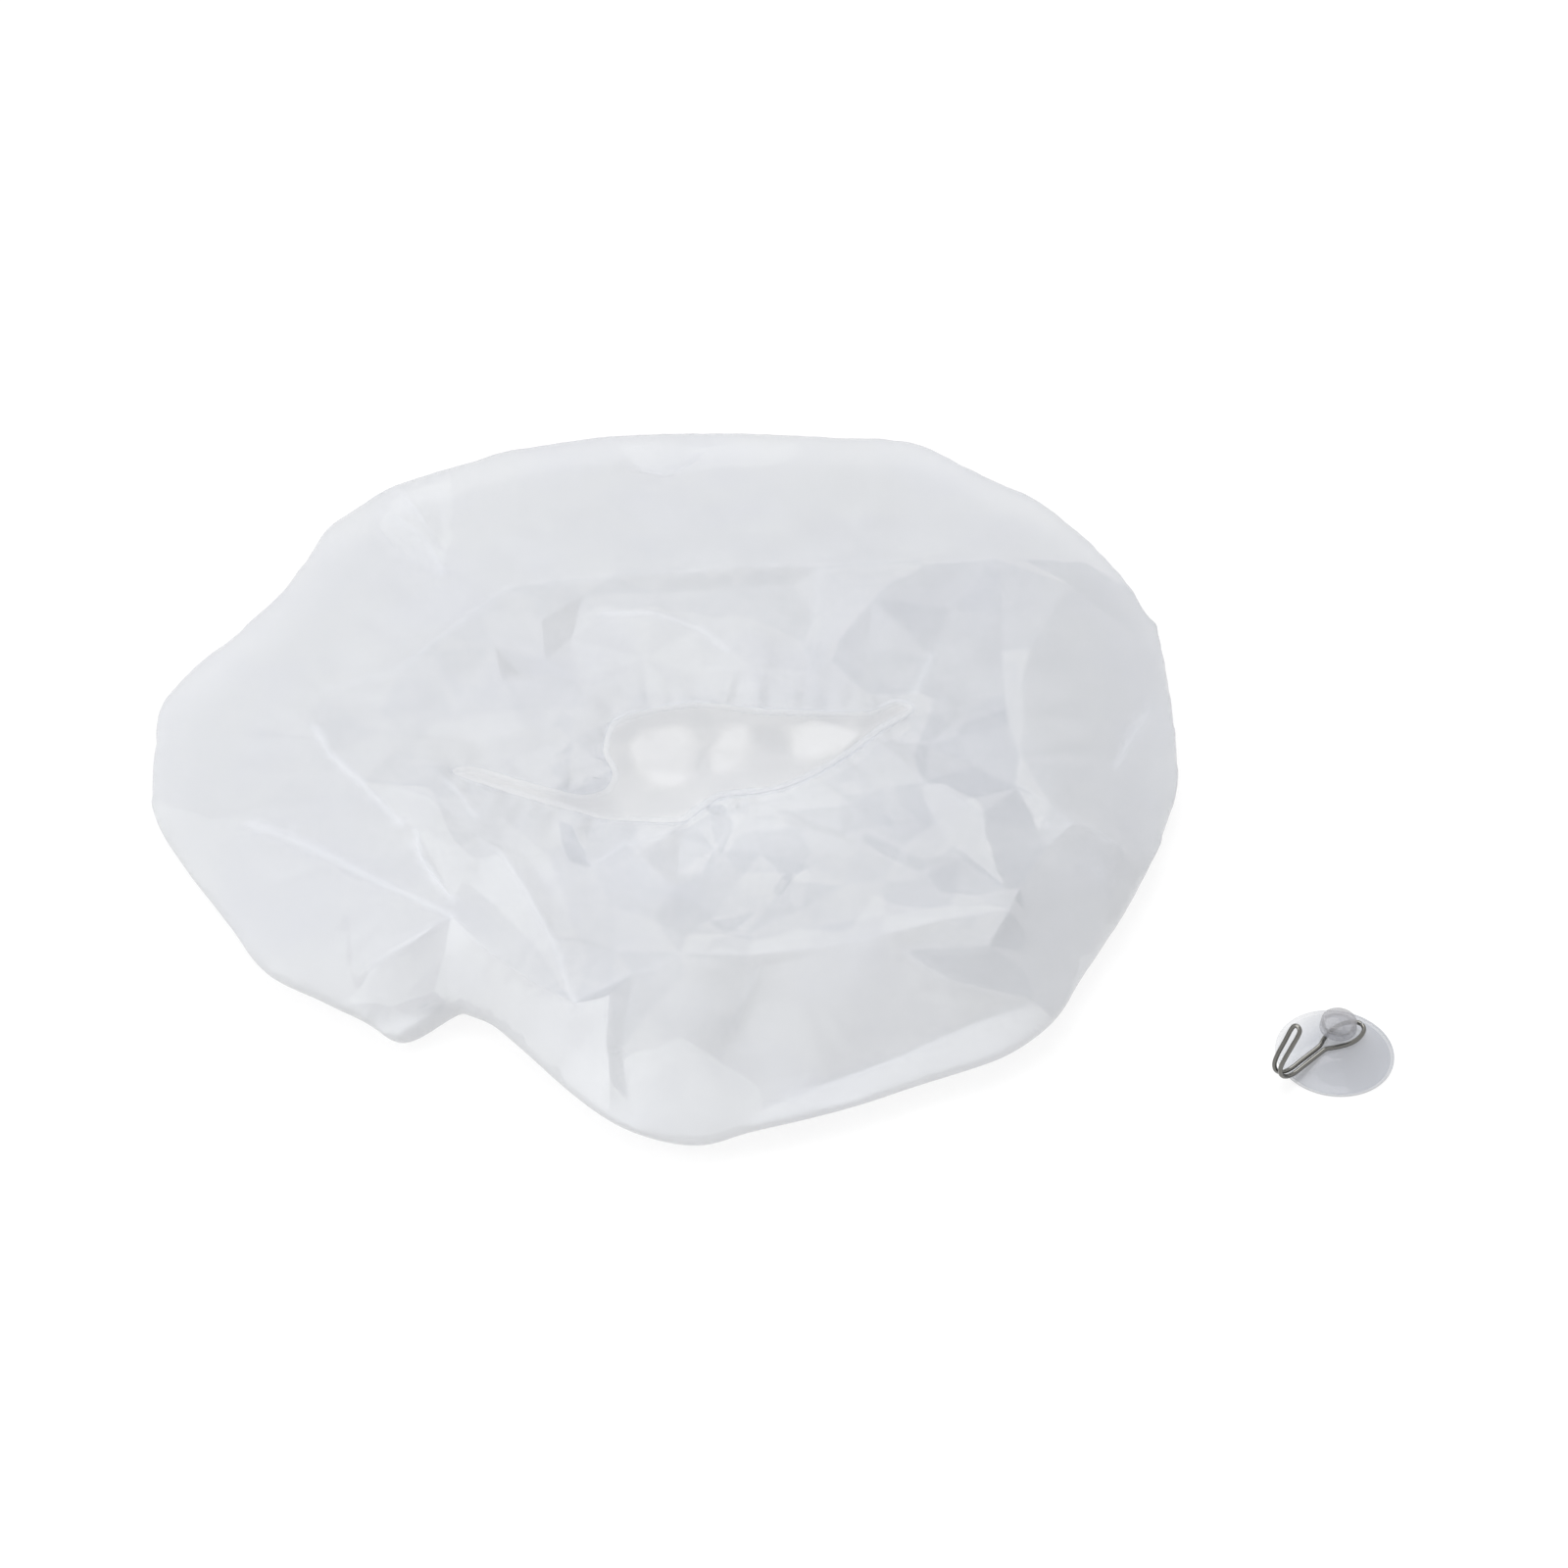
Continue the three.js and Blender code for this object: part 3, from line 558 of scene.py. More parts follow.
def swollen_outline():
    """The outline's corners, set out by as much as smoothing the film draws them in."""
    return fold_points(outline_angles()) * (OUTLINE_SWELL, OUTLINE_SWELL, 1)


def crease_segments():
    """Every crease's segments in plan, and their whiteness."""
    starts, ends, white = [], [], []
    for _, whiteness, points in CREASES.values():
        starts += [a[:2] for a in points[:-1]]
        ends += [b[:2] for b in points[1:]]
        white += [whiteness] * (len(points) - 1)
    return [np.array(part, float) for part in (starts, ends, white)]


def triangulated(corners, edges, nearness=1e-4):
    """A flat network through the corners that keeps the edges; corners that near become one."""
    return geometry.delaunay_2d_cdt([Vector(p[:2]) for p in corners], edges, [], 0, nearness)


def triangle_middles(corners, triangles):
    return np.array([[sum(corners[i][axis] for i in t) / 3 for axis in (0, 1)] for t in triangles])


def facet_network(outline, rim):
    """Corners and triangles of the film's facets: the creases with what they stretch between."""
    starts, ends, _ = crease_segments()
    corners = [tuple(p) for p in outline] + [tuple(p) for p in rim]
    edges = []
    for _, _, points in CREASES.values():
        first = len(corners)
        corners += points
        edges += [(first + k, first + k + 1) for k in range(len(points) - 1)]
    corners += [(x, y, z + CRUMPLE_RISE * (-1) ** i) for i, (x, y, z) in enumerate(CRUMPLES)]
    loose = []
    for placer, ways, step, turn in (
            (wall_points, WALL_WAYS, 9.0, 9), (funnel_points, FUNNEL_WAYS, 20.0, 10)):
        for way in ways:
            degrees = np.arange(0, 360, step) + way * turn
            loose += list(placer(degrees, np.full(len(degrees), way)))
    own = np.array(corners)[:, :2]
    for point in loose:
        flat = np.array(point[:2])
        beside = to_segments(flat[None, :], starts, ends).min()
        if beside > LOOSE_CLEARANCE and np.linalg.norm(own - flat, axis=1).min() > LOOSE_SPACING:
            corners.append(tuple(point))
    flat, _, triangles, origins, _, _ = triangulated(corners, edges)
    places = [(p[0], p[1], corners[o[0]][2] if o else np.nan) for p, o in zip(flat, origins)]
    return np.array(places), triangles


def facet_heights(network, points):
    """Height of the facets above each point, and the number of the facet that it lies in."""
    corners, triangles = network
    points = np.array(points)
    heights, numbers = np.full(len(points), np.nan), np.zeros(len(points), int)
    for number, triangle in enumerate(triangles):
        a, b, c = corners[list(triangle)]
        area = (b[0] - a[0]) * (c[1] - a[1]) - (c[0] - a[0]) * (b[1] - a[1])
        if abs(area) < 1e-9 or np.isnan(a[2] + b[2] + c[2]):
            continue
        x, y = points[:, 0] - a[0], points[:, 1] - a[1]
        u = (x * (c[1] - a[1]) - y * (c[0] - a[0])) / area
        v = (y * (b[0] - a[0]) - x * (b[1] - a[1])) / area
        hit = (u >= -1e-6) & (v >= -1e-6) & (u + v <= 1 + 1e-6)
        heights[hit] = a[2] + u[hit] * (b[2] - a[2]) + v[hit] * (c[2] - a[2])
        numbers[hit] = number
    return heights, numbers


def stepped(a, b, step):
    """Points from a towards b, the first one a, b left out."""
    steps = max(1, round(math.dist(a, b) / step))
    return [np.array(a, float) + (np.array(b, float) - a) * k / steps for k in range(steps)]


def facet_lines(network, rim, rng):
    """The facets' sides round the mouth that no crease runs along: line, sharpness, not closed."""
    starts, ends, _ = crease_segments()
    places, triangles = network
    central = inside(ridge_points(np.arange(0, 360, RIDGE_STEP)), places)
    lines = []
    for a, b in sorted({tuple(sorted((t[k], t[(k + 1) % 3]))) for t in triangles for k in range(3)}):
        if not (central[a] and central[b]) or np.isnan(places[a][2] + places[b][2]):
            continue
        middle = (places[a] + places[b]) / 2
        beside = to_segments(middle[None, :2], starts, ends).min()
        if beside >= CREASE_CLEARANCE and not inside(rim, middle[None, :])[0]:
            line = [*stepped(places[a], places[b], FACET_STEP), places[b]]
            lines.append((line, rng.choice(FACET_SHARPNESS), False))
    return lines


def border_lines(network, outline, rim):
    """The patches' borders, laid on the facets and cut off at the outline and the mouth."""
    lines = []
    for _, patch in PATCHES.values():
        border = []
        for a, b in zip(patch, patch[1:] + patch[:1]):
            border += stepped(a, b, CREASE_STEP)
        border = [p for p in border if inside(outline, p[None, :])[0] and not inside(rim, p[None, :])[0]]
        heights, _ = facet_heights(network, border)
        known = [(p[0], p[1], z) for p, z in zip(border, heights) if not np.isnan(z)]
        for a, b in zip(known, known[1:] + known[:1]):
            if math.dist(a, b) < LONGEST_BORDER:
                lines.append(([a, b], BORDER_SHARPNESS, False))
    return lines


def filler_corners(network, starts, ends, rng):
    """Corners strewn between the cage's lines, a little above or below the facets."""
    filler = []
    for placer, spacing in ((funnel_points, FUNNEL_SPACING), (wall_points, WALL_SPACING)):
        for _ in range(FILLER_TRIES):
            degrees, way = rng.uniform(0, 360), rng.uniform(*FILLER_WAYS)
            point = placer(np.array([degrees]), np.array([way]))[0]
            if filler and np.linalg.norm(np.array(filler)[:, :2] - point[:2], axis=1).min() < spacing:
                continue
            if to_segments(point[None, :2], starts, ends).min() > EDGE_CLEARANCE:
                filler.append(point)
    heights, _ = facet_heights(network, filler)
    return [np.array([p[0], p[1], z + rng.uniform(-FILLER_LIFT, FILLER_LIFT)])
            for p, z in zip(filler, heights) if not np.isnan(z)]


def film_layers_and_painted_shade(network, middles, outline, rng):
    """How dark each of the film's triangles is painted, partly for doubled film and partly as painted shade
    and light: its patch, its facet and how near the outline.
    """
    layers_and_painted_shade = np.zeros(len(middles))
    for amount, patch in PATCHES.values():
        layers_and_painted_shade[inside(np.array(patch, float), middles)] = amount
    # Random painted shade on each facet, for how light falls on it.
    shades = np.array([rng.uniform(*FACET_SHADES) for _ in network[1]])
    _, numbers = facet_heights(network, middles)
    central = inside(ridge_points(np.arange(0, 360, RIDGE_STEP)), middles)
    fully = (middles[:, 1] < 0) & (middles[:, 0] > FULL_SHADE_FROM)
    layers_and_painted_shade += np.where(central, shades[numbers] * np.where(fully, 1, PART_SHADE), WALL_SHADE)
    # Painted shade, a little darker towards the outline.
    edge = np.array(outline)[:, :2]
    beyond = to_segments(middles, edge, np.roll(edge, -1, axis=0)).min(axis=1)
    return layers_and_painted_shade + EDGE_SHADE * np.exp(-beyond / EDGE_SHADE_WIDTH)


def film_cage():
    """The film above its outline: corners, triangles, their painted tones, sharp edges and outer ring."""
    rng = random.Random(7)
    outline, rim = swollen_outline(), rim_points(hem_frames(RIM_CORNERS)[0])
    network = facet_network(outline, rim[::5])
    lines = [(list(outline), 0, True), (list(rim), 0, True)]
    for sharp, _, points in CREASES.values():
        line = []
        for a, b in zip(points, points[1:]):
            line += stepped(a, b, CREASE_STEP)
        lines.append(([*line, np.array(points[-1], float)], sharp, False))
    lines += facet_lines(network, rim, rng)
    lines += border_lines(network, outline, rim)
    corners, edges, sharpness = [], [], []
    for line, sharp, closed in lines:
        first, sides = len(corners), len(line) - 1 + closed
        corners += line
        edges += [(first + k, first + (k + 1) % len(line)) for k in range(sides)]
        sharpness += [sharp] * sides
    starts = np.array([corners[a][:2] for a, _ in edges])
    ends = np.array([corners[b][:2] for _, b in edges])
    corners += filler_corners(network, starts, ends, rng)
    flat, links, triangles, origins, edge_origins, _ = triangulated(corners, edges, MERGE_DISTANCE)
    known, _ = facet_heights(network, [(p[0], p[1]) for p in flat])
    places = []
    for place, sources, height in zip(flat, origins, known):
        height = corners[sources[0]][2] if sources else height
        places.append((place[0], place[1], SPARE_HEIGHT if np.isnan(height) else height))
    middles = triangle_middles(flat, triangles)
    shown = inside(outline, middles) & ~inside(rim, middles)
    kept = [t for t, show in zip(triangles, shown) if show]
    creased = {}
    for link, sources in zip(links, edge_origins):
        values = [sharpness[i] for i in sources if i < len(sharpness)]
        if values:
            creased[tuple(link)] = max(values)
    ring = [next(i for i, o in enumerate(origins) if k in o) for k in range(len(outline))]
    return places, kept, film_layers_and_painted_shade(network, middles[shown], outline, rng), creased, ring


def add_crown(mesh, rim, layer, crease):
    """The crown's film inside a ring of vertices: flat facets, a little lifted at their corners."""
    rng = random.Random(11)
    corners = [np.array(vert.co) for vert in rim]
    edges = [(k, (k + 1) % len(rim)) for k in range(len(rim))]
    ring = np.array(corners)[:, :2]
    for _, patch in CROWN_PATCHES:
        first = len(corners)
        corners += [np.array((x, y, rng.uniform(*CROWN_PATCH_LIFTS))) for x, y in patch]
        edges += [(first + k, first + (k + 1) % len(patch)) for k in range(len(patch))]
    for _ in range(CROWN_TRIES):
        x, y = rng.uniform(-CROWN_REACH, CROWN_REACH), rng.uniform(-CROWN_REACH, CROWN_REACH)
        own = np.array(corners)[:, :2]
        if inside(ring, np.array([[x, y]]))[0] and np.linalg.norm(own - (x, y), axis=1).min() > CROWN_SPACING:
            corners.append(np.array((x, y, rng.uniform(*CROWN_LIFTS))))
    flat, _, triangles, origins, _, _ = triangulated(corners, edges)
    verts = []
    for place, sources in zip(flat, origins):
        source = min(sources) if sources else -1
        height = corners[source][2] if sources else CROWN_REST
        verts.append(rim[source] if 0 <= source < len(rim) else mesh.verts.new((place[0], place[1], height)))
    middles = triangle_middles(flat, triangles)
    # Random painted shade and light on the crown's facets, for how light falls on each, with the crown's
    # patches added.
    amounts = np.array([rng.uniform(*CROWN_SHADES) for _ in triangles])
    for amount, patch in CROWN_PATCHES:
        amounts += np.where(inside(np.array(patch, float), middles), amount, 0)
    for triangle, amount, kept in zip(triangles, amounts, inside(ring, middles)):
        if not kept:
            continue
        face = mesh.faces.new([verts[i] for i in triangle])
        face[layer] = amount
        for edge in face.edges:
            edge[crease] = max(edge[crease], rng.choice(CROWN_SHARPNESS))


def build_film():
    """The film: crown, outer fold, wall, ridge and funnel, one skin up to the hem."""
    places, triangles, layers_and_painted_shade, creased, ring = film_cage()
    mesh = bmesh.new()
    crease = mesh.edges.layers.float.new("crease_edge")
    verts = [mesh.verts.new(place) for place in places]
    # Painted shade and light on each face, partly for doubled film.
    layer = mesh.faces.layers.float.new("layers_and_painted_shade")
    for triangle, value in zip(triangles, layers_and_painted_shade):
        mesh.faces.new([verts[i] for i in triangle])[layer] = value
    for (a, b), sharp in creased.items():
        edge = mesh.edges.get((verts[a], verts[b]))
        if edge:
            edge[crease] = sharp
    degrees = outline_angles()
    outline = around(OUTLINE, degrees)[:, 0] * HALF_WIDTH * OUTLINE_SWELL
    above = [verts[i] for i in ring]
    for reach, rise, shade in UNDER:
        level = on_rays(degrees, outline * reach, rise * FOLD_HEIGHT) + (0, 0, UNDER_LIFT)
        below = [mesh.verts.new(point) for point in level]
        for i, angle in enumerate(degrees):
            after = (i + 1) % len(ring)
            face = mesh.faces.new([above[i], below[i], below[after], above[after]])
            # Painted light on the under-side, whole in front and a fifth of itself behind.
            face[layer] = shade * (0.6 - 0.4 * math.sin(math.radians(angle)))
        above = below
    add_crown(mesh, above, layer, crease)
    bmesh.ops.delete(mesh, geom=[v for v in mesh.verts if not v.link_faces], context="VERTS")
    bmesh.ops.recalc_face_normals(mesh, faces=mesh.faces)
    film = link_mesh("film", mesh)
    add_modifier(film, "SUBSURF", levels=2, render_levels=2)
    finish_film(film)
    add_modifier(film, "SOLIDIFY", thickness=FILM_WALL, offset=-1)
    film.data.transform(Matrix.Scale(MM, 4))
    bpy.ops.object.shade_smooth_by_angle(angle=SMOOTH_ANGLE)
    return film


def near_hem(places, upper):
    """Each corner's distance in plan to the hem, how far round the hem that is, and how milky the hem is
    there, partly a painted highlight.
    """
    angles = column_angles(720)
    rim = rim_points(angles)
    steps = np.linalg.norm(np.roll(rim, -1, axis=0) - rim, axis=1)
    along = np.concatenate([[0], np.cumsum(steps)[:-1]]) / steps.sum()
    milk = around(HEM_MILK_AND_HIGHLIGHT, angles)[:, 0]
    near, position, milky = np.full(len(places), 1e3), np.zeros(len(places)), np.zeros(len(places))
    chosen = np.flatnonzero(upper)
    for part in np.array_split(chosen, len(chosen) // PLACES_AT_ONCE + 1):
        gaps = np.linalg.norm(places[part, None, :2] - rim[None, :, :2], axis=2)
        nearest = gaps.argmin(axis=1)
        near[part] = gaps[np.arange(len(part)), nearest]
        position[part] = along[nearest]
        milky[part] = milk[nearest]
    return near, position, milky


def film_lift(x, y, gap, position):
    """How far gathers and crumples lift the film at a place, by its distance from the hem."""
    phase = noise.noise(Vector((x, y, 0)) / UNEVEN_SIZE) * UNEVEN_TURN
    gather = 0
    for count, uneven, height, reach in GATHERS:
        wave = math.sin(position * TURN * count + phase * uneven)
        gather += height * wave * math.exp(-gap / reach)
    inner = math.exp(-((gap - CRUMPLED_FROM_HEM) / CRUMPLED_WIDTH) ** 2)
    fine = noise.noise(Vector((x, y, 3)) / FINE_SIZE)
    cells = noise.voronoi(Vector((x, y, 0)) / CELL_SIZE)[0][0]
    broad_cells = noise.voronoi(Vector((x + BROAD_SHIFT, y, 0)) / BROAD_SIZE)[0][0]
    crumple = inner * (FINE_LIFT * fine + CELL_LIFT * (cells - CELL_MEAN))
    return gather * (1 - math.exp(-gap / HELD_WIDTH)) + crumple + (broad_cells - CELL_MEAN)


def finish_film(film):
    """Gathers beside the hem, small crumples, and the whitening of the creases and of the film beside the
    hem, partly a painted highlight.
    """
    count = len(film.data.vertices)
    places = np.zeros(count * 3)
    film.data.vertices.foreach_get("co", places)
    places = places.reshape(-1, 3)
    upper = places[:, 2] > CREASED_FROM
    near, position, milky = near_hem(places, upper)
    for index in np.flatnonzero(upper):
        x, y, z = places[index]
        lift = film_lift(x, y, near[index], position[index])
        places[index, 2] += lift * min(1, (z - CREASED_FROM) / CREASED_WITHIN)
    film.data.vertices.foreach_set("co", places.ravel())
    # Whiteness along the creases, partly a painted highlight.
    starts, ends, white = crease_segments()
    whiteness = np.zeros(count)
    for part in np.array_split(np.arange(count), count // PLACES_AT_ONCE + 1):
        distances = to_segments(places[part, :2], starts, ends)
        whiteness[part] = (white * np.exp(-(distances / WHITENED_WIDTH) ** 2)).max(axis=1)
    # Whiter beside the hem, partly a painted highlight on its near side.
    whiteness = np.maximum(whiteness, HEM_MILK_AND_HIGHLIGHT_AMOUNT * milky * np.exp(-near / HEM_MILK_AND_HIGHLIGHT_WIDTH))
    attribute = film.data.attributes.new("crease_white_and_highlight", "FLOAT", "POINT")
    attribute.data.foreach_set("value", whiteness * upper)
    soften_layers_and_painted_shade(film, upper)


def soften_layers_and_painted_shade(film, upper):
    """Blur the borders of the painted tones: wholly on the crown, and by half on the film above it."""
    faces, loops = film.data.polygons, film.data.loops
    layers_and_painted_shade, sides = np.zeros(len(faces)), np.zeros(len(faces), int)
    film.data.attributes["layers_and_painted_shade"].data.foreach_get("value", layers_and_painted_shade)
    faces.foreach_get("loop_total", sides)
    crisp = np.repeat(layers_and_painted_shade, sides)
    index = np.zeros(len(loops), int)
    loops.foreach_get("vertex_index", index)
    blurred = (np.bincount(index, weights=crisp) / np.bincount(index))[index]
    share = np.where(upper[index], 0.5, 1)
    film.data.attributes.remove(film.data.attributes["layers_and_painted_shade"])
    attribute = film.data.attributes.new("layers_and_painted_shade", "FLOAT", "CORNER")
    attribute.data.foreach_set("value", crisp + (blurred - crisp) * share)


def link_mesh(name, mesh):
    data = bpy.data.meshes.new(name)
    mesh.to_mesh(data)
    mesh.free()
    piece = bpy.data.objects.new(name, data)
    bpy.context.collection.objects.link(piece)
    return piece


def add_modifier(piece, kind, **settings):
    """One modifier, applied at once."""
    bpy.ops.object.select_all(action="DESELECT")
    bpy.context.view_layer.objects.active = piece
    piece.select_set(True)
    modifier = piece.modifiers.new(kind.lower(), kind)
    for name, value in settings.items():
        setattr(modifier, name, value)
    bpy.ops.object.modifier_apply(modifier=modifier.name)


def ring_mesh(name, sections):
    """A closed tube from a list of closed sections, each a list of points in millimetres."""
    mesh = bmesh.new()
    rows = [[mesh.verts.new(Vector(p) * MM) for p in section] for section in sections]
    for row, after in zip(rows, rows[1:] + rows[:1]):
        for k in range(len(row)):
            side = (k + 1) % len(row)
            mesh.faces.new([row[k], after[k], after[side], row[side]])
    bmesh.ops.recalc_face_normals(mesh, faces=mesh.faces)
    piece = link_mesh(name, mesh)
    piece.data.shade_smooth()
    return piece


def hem_frames(count):
    """Angle, middle and outward direction of the hem at evenly spaced places along its length."""
    fine = np.arange(1440) * 0.25
    points = hem_points(fine)
    steps = np.linalg.norm(np.roll(points, -1, axis=0) - points, axis=1)
    along = np.concatenate([[0], np.cumsum(steps)])
    degrees = np.interp(np.arange(count) * along[-1] / count, along, np.append(fine, 360))
    return degrees, hem_points(degrees), hem_outward(degrees)


def tube_point(middle, out, reach, angle, wide=1, high=1):
    """A point beside the hem's middle line, at an angle about it that starts outwards."""
    offset = out * reach * math.cos(angle) * wide
    return middle[0] + offset[0], middle[1] + offset[1], middle[2] + reach * math.sin(angle) * high


def build_hem():
    """The film's edge, rolled round the elastic and gathered on it, with its lip left open."""
    degrees, middles, outward = hem_frames(HEM_SECTIONS)
    rng = random.Random(3)
    bunch = [rng.uniform(0.75, 1.25) for _ in range(HEM_GATHERS)]
    outer = (HEM_RADIUS, HEM_LIP, TURN - HEM_LIP)
    inner = (HEM_RADIUS - HEM_WALL, TURN - HEM_LIP, HEM_LIP)
    sections = []
    for index, (middle, out) in enumerate(zip(middles, outward)):
        gather = index * HEM_GATHERS / HEM_SECTIONS
        size = bunch[int(gather)] * (0.5 - 0.5 * math.cos(gather * TURN))
        section = []
        for radius, first, last in (outer, inner):
            for k in range(HEM_POINTS):
                angle = first + (last - first) * k / (HEM_POINTS - 1)
                swell = HEM_SWELL * size * (0.6 + 0.4 * math.cos(angle * 3 + index * 0.2))
                reach = radius - HEM_DRAWN_IN + swell
                section.append(tube_point(middle, out, reach, angle, HEM_WIDE, HEM_HIGH))
        sections.append(section)
    hem = ring_mesh("hem", sections)
    # Milkiness along the hem, partly a painted highlight on its near side.
    milky = hem.data.attributes.new("milky", "FLOAT", "POINT")
    milky.data.foreach_set("value", np.repeat(around(HEM_MILK_AND_HIGHLIGHT, degrees)[:, 0], len(sections[0])))
    return hem


def build_elastic():
    """A thin covered elastic thread, drawn in a little at each gather."""
    _, middles, outward = hem_frames(ELASTIC_SECTIONS)
    sections = []
    for index, (middle, out) in enumerate(zip(middles, outward)):
        reach = ELASTIC_RADIUS * (0.86 + 0.07 * math.cos(index * math.pi / 2))
        angles = [k * TURN / ELASTIC_SIDES + index * 0.12 for k in range(ELASTIC_SIDES)]
        sections.append([tube_point(middle, out, reach, angle) for angle in angles])
    return ring_mesh("elastic", sections)


def arc(radius, first, last, steps):
    return [(radius * math.cos(first + (last - first) * k / steps),
             radius * math.sin(first + (last - first) * k / steps)) for k in range(steps + 1)]


def cup_profile():
    """Half section of the suction cup, from the middle of its hollow, round the rim, to its top."""
    seal, boss = CUP_RADIUS - RIM_WIDTH, COLLAR_RADIUS * 0.92
    base = BOSS_HEIGHT + NECK_HEIGHT
    top = base + COLLAR_HEIGHT
    profile = [(0, DOME_HOLLOW)]
    for k in range(1, 12):
        reach = k / 12
        profile.append((seal * reach, DOME_HOLLOW * math.cos(reach * math.pi / 2) ** 0.8))
    profile += [(seal, 0), (CUP_RADIUS - 0.15, 0), (CUP_RADIUS, 0.15), (CUP_RADIUS, RIM_THICKNESS * 0.7)]
    for k in range(1, 15):
        way = k / 15
        rise = way ** 1.25 * 0.35 + 0.65 * (0.5 - 0.5 * math.cos(way * math.pi))
        height = RIM_THICKNESS + (BOSS_HEIGHT - RIM_THICKNESS) * rise
        profile.append((CUP_RADIUS + (boss - CUP_RADIUS) * way, height))
    profile += [
        (boss, BOSS_HEIGHT), (NECK_RADIUS + 0.6, BOSS_HEIGHT), (NECK_RADIUS + 0.15, BOSS_HEIGHT + 0.25),
        (NECK_RADIUS, BOSS_HEIGHT + 0.8), (NECK_RADIUS, base - 0.6), (NECK_RADIUS + 0.3, base - 0.1),
        (COLLAR_RADIUS - 0.6, base), (COLLAR_RADIUS - 0.1, base + 0.35), (COLLAR_RADIUS, base + 0.8),
        (COLLAR_RADIUS - 0.15, top - 0.3), (COLLAR_RADIUS - 1.6, top), (COLLAR_RADIUS - 1.8, top + 0.25)]
    for k in range(1, 13):
        share = math.sin(math.pi / 2 * (k / 6.5 - 1))
        rise = (KNOB_HEIGHT - 0.5) * (0.5 + 0.5 * share)
        profile.append((KNOB_RADIUS * (1 - 0.16 * abs(share) ** 3), top + 0.5 + rise))
    return [*profile, (0, top + KNOB_HEIGHT)]


def weld_and_smooth():
    """Merge the active piece's doubles, turn its faces outwards and smooth its gentle edges."""
    bpy.ops.object.mode_set(mode="EDIT")
    bpy.ops.mesh.select_all(action="SELECT")
    bpy.ops.mesh.remove_doubles(threshold=1e-6)
    bpy.ops.mesh.normals_make_consistent(inside=False)
    bpy.ops.object.mode_set(mode="OBJECT")
    bpy.ops.object.shade_smooth_by_angle(angle=math.radians(40))


def build_cup():
    """The cup's half section is drawn from one vertex by extruding, then spun round its axis."""
    bpy.ops.object.select_all(action="DESELECT")
    bpy.ops.mesh.primitive_plane_add(size=0.001, location=(0, 0, 0))
    cup = bpy.context.active_object
    cup.name = "cup"
    cup.data.name = "cup"
    profile = [Vector((CUP_X + r, CUP_Y, z)) * MM for r, z in cup_profile()]
    bpy.ops.object.mode_set(mode="EDIT")
    bpy.ops.mesh.select_all(action="SELECT")
    bpy.ops.mesh.merge(type="CENTER")
    bpy.ops.transform.translate(value=profile[0])
    for before, after in zip(profile, profile[1:]):
        bpy.ops.mesh.extrude_region_move(TRANSFORM_OT_translate={"value": after - before})
    bpy.ops.mesh.select_all(action="SELECT")
    bpy.ops.mesh.spin(steps=96, angle=TURN, center=Vector((CUP_X, CUP_Y, 0)) * MM, axis=(0, 0, 1))
    bpy.ops.object.mode_set(mode="OBJECT")
    weld_and_smooth()
    return cup


def half_wire():
    """Half of the bent wire, cut end to tip, as points in millimetres; +X points along the legs."""
    eye_height = BOSS_HEIGHT + SEAT_GAP + WIRE_RADIUS
    eye_front = NECK_RADIUS + WIRE_RADIUS + SEAT_GAP
    middle, half_length = (eye_front - EYE_BACK) / 2, (eye_front + EYE_BACK) / 2
    cut = math.pi - math.asin(EYE_GAP / EYE_HALF_WIDTH)
    points = [(middle + x * half_length, y * EYE_HALF_WIDTH, eye_height)
              for x, y in arc(1, cut, 0.3 * math.pi, 7)]
    half_leg = LEG_SPACING / 2
    points.append((eye_front, half_leg * 2.1, eye_height))
    points.append((eye_front + WIRE_RADIUS * 2.6, half_leg * 1.15, eye_height - WIRE_RADIUS * 0.2))
    dip = math.atan2(eye_height - LEG_END_HEIGHT, LEG_END_X - eye_front)
    bend_x = LEG_END_X + BEND_RADIUS * math.sin(dip)
    bend_z = LEG_END_HEIGHT + BEND_RADIUS * math.cos(dip)
    start = Vector((eye_front + WIRE_RADIUS * 5, half_leg, eye_height - WIRE_RADIUS * 0.9))
    end = Vector((LEG_END_X, half_leg, LEG_END_HEIGHT))
    points += [tuple(start.lerp(end, way)) for way in (0, 0.33, 0.67)]
    widen = (TIP_SPACING - LEG_SPACING) / 2
    bend = arc(BEND_RADIUS, -math.pi / 2 - dip, TIP_LEAN - math.pi / 2, 6)
    for k, (x, z) in enumerate(bend):
        points.append((bend_x + x, half_leg + widen * k / len(bend), bend_z + z))
    up = Vector((math.cos(TIP_LEAN), 0, math.sin(TIP_LEAN)))
    top = Vector((points[-1][0], TIP_SPACING / 2, points[-1][2]))
    points += [tuple(top + up * TIP_LENGTH * way) for way in (0.5, 1)]
    turn = Vector((points[-1][0], 0, points[-1][2]))
    for across, rise in arc(TIP_SPACING / 2, math.pi / 6, math.pi / 3, 1):
        points.append(tuple(turn + up * rise + Vector((0, across, 0))))
    return points, tuple(turn + up * TIP_SPACING / 2)


